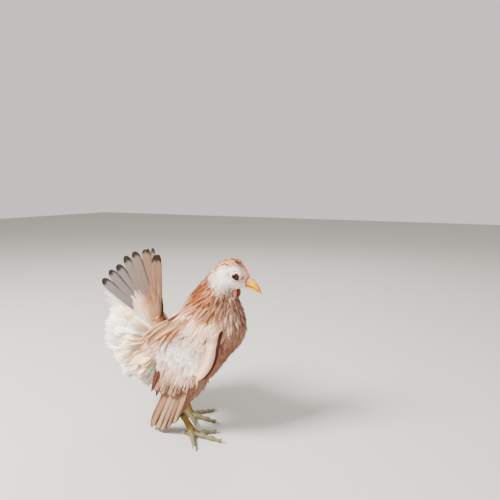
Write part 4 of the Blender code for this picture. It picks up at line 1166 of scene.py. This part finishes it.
# %% The soft feathers over the fluff
FLUFF_TUFTS, TUFT_STATIONS, WARM_DOWN = 460, 5, linear(248, 200, 136)
chosen = random.integers(0, len(fluff_spines), FLUFF_TUFTS)
start_share = varied(FLUFF_TUFTS, 0.0, 0.45)
at = start_share * (FLUFF_STATIONS - 1)
low = at.astype(int)
starts = between(fluff_spines[chosen, low], fluff_spines[chosen, low + 1], (at - low)[:, None])
broad_ways = unit(fluff_spines[:, -1] - fluff_spines[:, 0])
along, out = broad_ways[chosen], fluff_outwards[chosen, 0]
aside = np.cross(out, along) * random.normal(0, 0.22, (FLUFF_TUFTS, 1))
along = unit(along + aside + out * random.normal(0.06, 0.05, (FLUFF_TUFTS, 1)))
room = np.linalg.norm(fluff_spines[chosen, -1] - starts, axis=1) / MM
lengths = np.minimum(varied(FLUFF_TUFTS, 20, 34), room * 1.02)[:, None, None]
share = even(TUFT_STATIONS)
rise = varied(FLUFF_TUFTS, 0.8, 4.6)[:, None, None] * np.sin(share * math.pi * 0.6)
spines = starts[:, None] + (along[:, None] * lengths * share + out[:, None] * rise) * MM
outwards = np.repeat(unit(out + random.normal(0, 0.35, out.shape))[:, None], TUFT_STATIONS, 1)
lowness = clipped((78 - spines[:, -1, 2] / MM) / 20)[:, None]
tints = between(WARM_DOWN, between(WHITE, LOW_DOWN, lowness), clipped(start_share * 2.5)[:, None])
# shadowed paints shade over clumps of tufts.
feathers("fluff_tufts", petal_feather, spines, outwards, varied(FLUFF_TUFTS, 3.2, 5.4),
         tints * shadowed(spines[:, -1], 11), *DOWN, plume_shade, camber=0.15)

# %% [markdown]
# Seen from behind, the broad feathers stand edge on, like pages. Drooping tufts that face upwards
# and back lie over their edges and close the gaps between them.

# %% The tufts behind
REAR_TUFTS, REAR_DROOP, INNER_FEATHERS = 220, 1.0, 2 * (FLUFF_TIERS[0][-1] + FLUFF_TIERS[1][-1])
chosen = random.integers(0, INNER_FEATHERS, REAR_TUFTS)
start_share = varied(REAR_TUFTS, 0.5, 0.9)[:, None]
starts = between(fluff_spines[chosen, 0], fluff_spines[chosen, -1], start_share)
along = broad_ways[chosen]
level = np.cross(along, (0.0, 1.0, 0.0))
level *= np.sign(level[:, 2:])
ways = along - level * varied(REAR_TUFTS, 0.2, 0.8)[:, None]
ways = unit(ways + random.normal(0, 0.3, along.shape) * (0.4, 1, 0.6))
lengths = varied(REAR_TUFTS, 11, 18)[:, None] * (1.15 - start_share) * 1.6
spines = starts[:, None] + ((ways * lengths)[:, None] * share - np.array((0, 0, REAR_DROOP)) * share**2) * MM
outwards = unit(level + along * 0.5 + random.normal(0, 0.3, along.shape))
tints = WHITE * varied(REAR_TUFTS, 0.8, 1.0)[:, None]
feathers("fluff_behind", tuft_feather, spines, np.repeat(outwards[:, None], TUFT_STATIONS, 1),
         varied(REAR_TUFTS, 2.2, 3.8), tints, *DOWN, plume_shade, camber=0.08)

# %% [markdown]
# The bare parts are finished from the solids: a copy is remeshed finely and smoothed, so that its
# facets go and its shape and place stay. The eye is a glossy ball between two lids.

# %% Helpers for bare parts
def refined(name, material, slot, voxel, passes, *nodes, sink=0.0):
    """Copies of solids as one fine smooth mesh."""
    piece = joined([copy_of(title) for title in nodes])
    modify(piece, "REMESH", mode="VOXEL", voxel_size=voxel * MM)
    modify(piece, "SMOOTH", factor=0.5, iterations=passes)
    if sink:
        modify(piece, "DISPLACE", strength=-sink * MM, mid_level=0)
    return settle(piece, name, material, slot, *nodes)


def shifted(obj, *steps):
    """Moves a finished mesh by these millimetres inside its object."""
    for vertex in obj.data.vertices:
        vertex.co += Vector(steps) * MM


def ramp(tree, factor, stops):
    """A colour for each stop of the factor."""
    made = node(tree, "ValToRGB", {"Fac": factor})
    for extra in range(len(stops) - 2):
        made.color_ramp.elements.new(0.5)
    for element, (position, colour) in zip(made.color_ramp.elements, stops):
        element.position, element.color = position, (*colour, 1)
    return made.outputs["Color"]


def grainy(tree, shader, scale, strength):
    """Bumps the shader by fine noise, which is given back to colour it too."""
    grain = node(tree, "TexNoise", {"Vector": object_coords(tree), "Scale": scale, "Detail": 4.0}).outputs["Fac"]
    bump(tree, shader, grain, strength, 0.2)
    return grain


def mottled(name, roughness, scale, strength, dark, pale, **sockets):
    """A finish that goes from a dark colour in its dips to a pale one on its bumps."""
    material, tree, shader = new_material(name, roughness, **sockets)
    grain = grainy(tree, shader, scale, strength)
    colour = ramp(tree, grain, ((0.3, linear(*dark)), (0.7, linear(*pale))))
    tree.links.new(colour, shader.inputs["Base Color"])
    return material


# %% Bill, comb and wattles
ROOT_PINK, BILL_TOP, BILL_ROOT, BILL_LENGTH = linear(180, 110, 70), (148.6, 151.4), (57.5, 54.5), (52, 66)
BILL_YELLOWS = ((0.0, linear(186, 128, 36)), (0.5, linear(192, 138, 0)), (1.0, linear(172, 106, 0)))
LOWER_BILL_RISE, MOUTH_LINE = 0.35, ((51.6, 56.3, 59.8, 62.8, 64.7), (146.3, 145.6, 144.4, 142.8, 141.2))

bill_finish, tree, shader = new_material("bill_horn", 0.4, Specular_IOR_Level=0.25)
spot = node(tree, "SeparateXYZ", {0: object_coords(tree)}).outputs
height = share_between(tree, spot["Z"], *(z * MM for z in BILL_TOP))
root = share_between(tree, spot["X"], *(FOOT_X + x * MM for x in BILL_ROOT))
yellow = ramp(tree, share_between(tree, spot["X"], *(FOOT_X + x * MM for x in BILL_LENGTH)), BILL_YELLOWS)
blend = {"Factor": maths(tree, "MULTIPLY", height, root), "A": yellow, "B": (*ROOT_PINK, 1)}
tree.links.new(node(tree, "Mix", blend, data_type="RGBA").outputs["Result"], shader.inputs["Base Color"])
grainy(tree, shader, 1500.0, 0.15)
comb_finish = mottled("comb_skin", 0.55, 2600.0, 0.6, (172, 112, 92), (204, 150, 130),
                      Subsurface_Weight=0.15, Subsurface_Scale=0.001)
wattle_finish = mottled("wattle_skin", 0.6, 2600.0, 0.6, (112, 50, 40), (146, 78, 64), Specular_IOR_Level=0.2)


def slimmer(obj, shares):
    """Draws a half of the bill towards the mouth line, most at its root."""
    for vertex in obj.data.vertices:
        x, z = (vertex.co.x - FOOT_X) / MM, vertex.co.z / MM
        line = np.interp(x, *MOUTH_LINE)
        vertex.co.z = (line + (z - line) * np.interp(x, (52, 63), shares)) * MM


slimmer(refined("upper_bill", bill_finish, "bill_horn", 0.22, 4, "bill_upper"), (0.95, 1.0))
lower_bill = refined("lower_bill", bill_finish, "bill_horn", 0.22, 4, "bill_lower")
slimmer(lower_bill, (0.6, 0.8))
shifted(lower_bill, 0, 0, LOWER_BILL_RISE)
shifted(refined("comb_ridge", comb_finish, "skin_red", 0.24, 5, "comb", sink=0.3), -1.1, 0, -0.9)
for side, sign in SIDES:
    lobe = refined(f"wattle_lobe_{side}", wattle_finish, "skin_red", 0.2, 6, f"wattle_{side}", sink=0.35)
    shifted(lobe, -1.0, -2.0 * sign, 0)

# %% Eyes and lids
EYE_RADIUS, PUPIL, IRIS, UPRIGHT = 4.1, 1.3, 2.9, math.radians(90)
# radius, thickness, distance outside the eye's middle, turn in degrees
LID_RINGS = ((3.75, 0.85, 2.0, 18), (4.4, 1.0, 1.2, 24))
LID_SCALE, LID_TILT = (1.04, 0.77, 1.0), 12

eye_finish, tree, shader = new_material("eye", 0.07, Specular_IOR_Level=0.15)
spot = node(tree, "SeparateXYZ", {0: object_coords(tree)}).outputs
flat = node(tree, "CombineXYZ", {"X": spot["X"], "Z": spot["Z"]}).outputs[0]
middle = (FOOT_X + EYE_PLACE[0] * MM, 0, EYE_PLACE[2] * MM)
from_middle = node(tree, "VectorMath", {0: flat, 1: middle}, operation="DISTANCE").outputs["Value"]
iris_colour = ramp(tree, share_between(tree, from_middle, 0, EYE_RADIUS * MM), (
    (PUPIL / EYE_RADIUS, (0.001, 0.001, 0.001)), (PUPIL / EYE_RADIUS + 0.04, linear(42, 20, 12)),
    (IRIS / EYE_RADIUS, linear(52, 25, 14)), (IRIS / EYE_RADIUS + 0.06, linear(14, 8, 7)),
))
tree.links.new(iris_colour, shader.inputs["Base Color"])
lid_finish = mottled("lid_skin", 0.6, 3000.0, 0.5, (184, 132, 114), (228, 190, 174))
for side, sign in SIDES:
    x, y, z = EYE_PLACE
    bpy.ops.mesh.primitive_uv_sphere_add(
        segments=40, ring_count=24, radius=EYE_RADIUS * MM, location=place(x, sign * y, z), rotation=(UPRIGHT, 0, 0))
    settle(bpy.context.object, f"eyeball_{side}", eye_finish, "eye_gloss", f"eye_{side}")
    rings = []
    for radius, thickness, outward, turn in LID_RINGS:
        bpy.ops.mesh.primitive_torus_add(
            major_radius=radius * MM, minor_radius=thickness * MM, major_segments=48, minor_segments=12,
            location=place(x, sign * (y + outward), z), rotation=(UPRIGHT, 0, math.radians(-sign * turn)))
        rings.append(bpy.context.object)
    lids = joined(rings)
    lids.scale = LID_SCALE
    lids.rotation_euler.rotate_axis("Z", math.radians(-LID_TILT * sign))
    settle(lids, f"lids_{side}", lid_finish, "plumage")

# %% [markdown]
# A leg is one scaly skin over the shank and the toes. Broad scutes lap down its front and along
# each toe like roof tiles, so they are laid with the same arithmetic as the feathers.

# %% The legs
FOOT_JOINT, HOCK = (0, 16.2, 5), (-14.6, 17, 25)
FOOT_SHIFT, HIP_SHIFT, HIP_HEIGHT = {"right": 0, "left": -25}, {"right": 0, "left": -6}, 66
SHANK_RADII, SHANK_SCUTES, SHANK_SHARE = (3.9, 3.6, 3.0, 2.6, 2.6, 2.9, 3.3), 11, 0.93
# heading in degrees, length, radius at the foot and at the claw, scutes, joints
TOES = {
    "middle": (-2, 30, 2.5, 1.7, 13, 3), "inner": (-38, 21, 2.2, 1.6, 10, 2),
    "outer": (50, 24, 2.3, 1.6, 11, 4), "hind": (172, 5, 1.9, 1.5, 3, 1),
}
TOE_START, TOE_HEIGHT_SHARE, TOE_REACH_ASIDE, TOE_TOP, LAP, SCUTE_STATIONS = 2.2, 1.7, 3.3, 7, 1.4, 4
KNUCKLE, TOE_TAPER, SEAM_SCALE, SEAM_WIDTH, SEAM_SHADE = 0.13, 0.17, 750.0, 0.14, 0.55
OLIVE, TOE_GREEN = linear(116, 90, 20), linear(104, 96, 64)

leg_finish, tree, shader = new_material("leg_scale", 0.55, Specular_IOR_Level=0.2)
change = maths(tree, "MULTIPLY_ADD", grainy(tree, shader, 2200.0, 0.4), 0.5, 0.75)
scales = {"Vector": object_coords(tree), "Scale": SEAM_SCALE}
to_edge = node(tree, "TexVoronoi", scales, feature="DISTANCE_TO_EDGE").outputs["Distance"]
tinted(tree, shader, maths(tree, "MULTIPLY", change, share_between(tree, to_edge, 0, SEAM_WIDTH, SEAM_SHADE)))
claw_finish = mottled("claw_horn", 0.35, 1800.0, 0.2, (148, 124, 98), (190, 170, 144), Coat_Weight=0.2)


def leg_tints(points):
    return between(TOE_GREEN, OLIVE, clipped((points[:, 2] / MM - 3.5) / 5)[:, None])


def foot_joint(side, sign):
    return np.array((FOOT_JOINT[0] + FOOT_SHIFT[side], sign * FOOT_JOINT[1], FOOT_JOINT[2]))


def toe_way(heading, sign):
    turn = math.radians(heading) * sign
    return np.array((math.cos(turn), math.sin(turn), 0))


def knuckled(points, side, sign):
    """The points of a foot moved so that each toe swells at its joints and narrows to the claw."""
    from_joint = (points - places(foot_joint(side, sign)))[:, :2] / MM
    moved = points.copy()
    for heading, length, _, _, _, joints in TOES.values():
        ahead = toe_way(heading, sign)[:2]
        beside = np.array((-ahead[1], ahead[0]))
        along, across = from_joint @ ahead - TOE_START, from_joint @ beside
        share = np.clip(along / length, 0, 1.1)
        swell = KNUCKLE * np.cos(2 * math.pi * joints * share) - TOE_TAPER * share
        toe = (np.abs(across) < TOE_REACH_ASIDE) & (points[:, 2] < TOE_TOP * MM) & (along < length + 3)
        swell *= toe * clipped((along - 2) / 3)
        moved[:, :2] += (across * swell * MM)[:, None] * beside
        moved[:, 2] += points[:, 2] * swell
    return moved


def scute_spines(side, sign):
    """The scutes down the shank, and then along each toe."""
    stations = np.linspace(0, 1, SCUTE_STATIONS)
    off_skin = 0.55 + 0.25 * stations
    hip_share = (HOCK[2] - FOOT_JOINT[2]) / (HIP_HEIGHT - FOOT_JOINT[2])
    hock_x = HOCK[0] + between(FOOT_SHIFT[side], HIP_SHIFT[side], hip_share)
    hock, joint = np.array((hock_x, sign * HOCK[1], HOCK[2])), foot_joint(side, sign)
    front = np.cross((0, 1, 0), unit(joint - hock))
    rows = []
    for plate in range(SHANK_SCUTES):
        along = (plate + 0.1 + stations * LAP) / SHANK_SCUTES * SHANK_SHARE
        radius = np.interp(along * (len(SHANK_RADII) - 1), range(len(SHANK_RADII)), SHANK_RADII)
        spine = between(hock, joint, along[:, None]) + front * (radius + off_skin)[:, None]
        rows.append((spine, front, radius[0] * 0.8))
    for heading, length, base, end, plates, _ in TOES.values():
        for plate in range(plates):
            along = np.minimum((plate + 0.05 + stations * LAP) / plates, 1.02)
            radius = between(base, end, along)
            spine = joint * (1, 1, 0) + toe_way(heading, sign) * (TOE_START + length * along[:, None])
            spine[:, 2] = radius * TOE_HEIGHT_SHARE + off_skin
            rows.append((spine, (0.0, 0.0, 1.0), radius[0] * 0.92))
    spines, ways, halves = (np.array(parts, float) for parts in zip(*rows))
    return places(spines), np.repeat(ways[:, None], SCUTE_STATIONS, 1), halves


for side, sign in SIDES:
    nodes = [f"shank_{side}"] + [f"toe_{title}_{side}" for title in TOES]
    leg = refined(f"leg_{side}", leg_finish, "leg_scale", 0.32, 3, *nodes, sink=-0.5)
    spots = values_of(leg.data.vertices, "co", 3)
    spots[:, 2] = np.maximum(spots[:, 2], 0)
    spots = knuckled(spots, side, sign)
    leg.data.vertices.foreach_set("co", spots.ravel())
    tint_mesh(leg.data, leg_tints(spots) * 0.85)
    spines, outwards, halves = scute_spines(side, sign)
    spines = knuckled(spines.reshape(-1, 3), side, sign).reshape(spines.shape)
    tints = leg_tints(spines[:, 1]) * varied(len(halves), 0.9, 1.12)[:, None]
    feathers(f"scutes_{side}", scute, spines, outwards, halves, tints, leg_finish, "leg_scale", ringed,
             camber=0.8, thickness=0.16, ridge=0.0, strip=True)
    for title in TOES:
        refined(f"claw_horn_{title}_{side}", claw_finish, "claw_horn", 0.14, 4, f"claw_{title}_{side}")

# %% [markdown]
# Floor, light and camera. The floor is plain and pale, three soft lamps stand round the hen, and
# the camera looks slightly down on her from her right, as the photograph does.

# %% The floor, the light and the camera
floor_finish, tree, shader = new_material("studio_floor", 0.6)
shader.inputs["Base Color"].default_value = (*linear(168, 163, 156), 1)
bpy.ops.mesh.primitive_plane_add(size=6)
floor = bpy.context.object
floor.name = "studio_floor"
floor.data.materials.append(floor_finish)

bpy.context.scene.world = bpy.data.worlds.new("soft_studio")
bpy.context.scene.world.use_nodes = True
sky = bpy.context.scene.world.node_tree.nodes["Background"]
sky.inputs["Color"].default_value = (1.0, 0.97, 0.94, 1)
sky.inputs["Strength"].default_value = 0.9
LAMP_AIM = 0.09


def lamp(name, position, power, size):
    data = bpy.data.lights.new(name, "AREA")
    data.energy, data.size = power, size
    obj = bpy.data.objects.new(name, data)
    bpy.context.scene.collection.objects.link(obj)
    obj.location = position
    aim = Vector((0, 0, LAMP_AIM)) - obj.location
    obj.rotation_euler = aim.to_track_quat("-Z", "Y").to_euler()


lamp("window", (-0.5, -0.75, 1.0), 96, 0.45)
lamp("fill", (1.0, -0.6, 0.6), 10, 0.8)
lamp("rim", (-0.3, 0.9, 0.9), 8, 0.6)

CAMERA_PLACE, CAMERA_LOOK = (0.2597, -0.3869, 0.235), (-0.4657, 0.8757, -0.1271)
camera = bpy.data.objects.new("camera", bpy.data.cameras.new("camera"))
bpy.context.scene.collection.objects.link(camera)
camera.data.lens, camera.data.sensor_width = 36, 36
camera.data.clip_start = 0.01
camera.location = Vector(CAMERA_PLACE) + Vector((FOOT_X, 0, 0))
camera.rotation_euler = Vector(CAMERA_LOOK).to_track_quat("-Z", "Y").to_euler()
bpy.context.scene.camera = camera
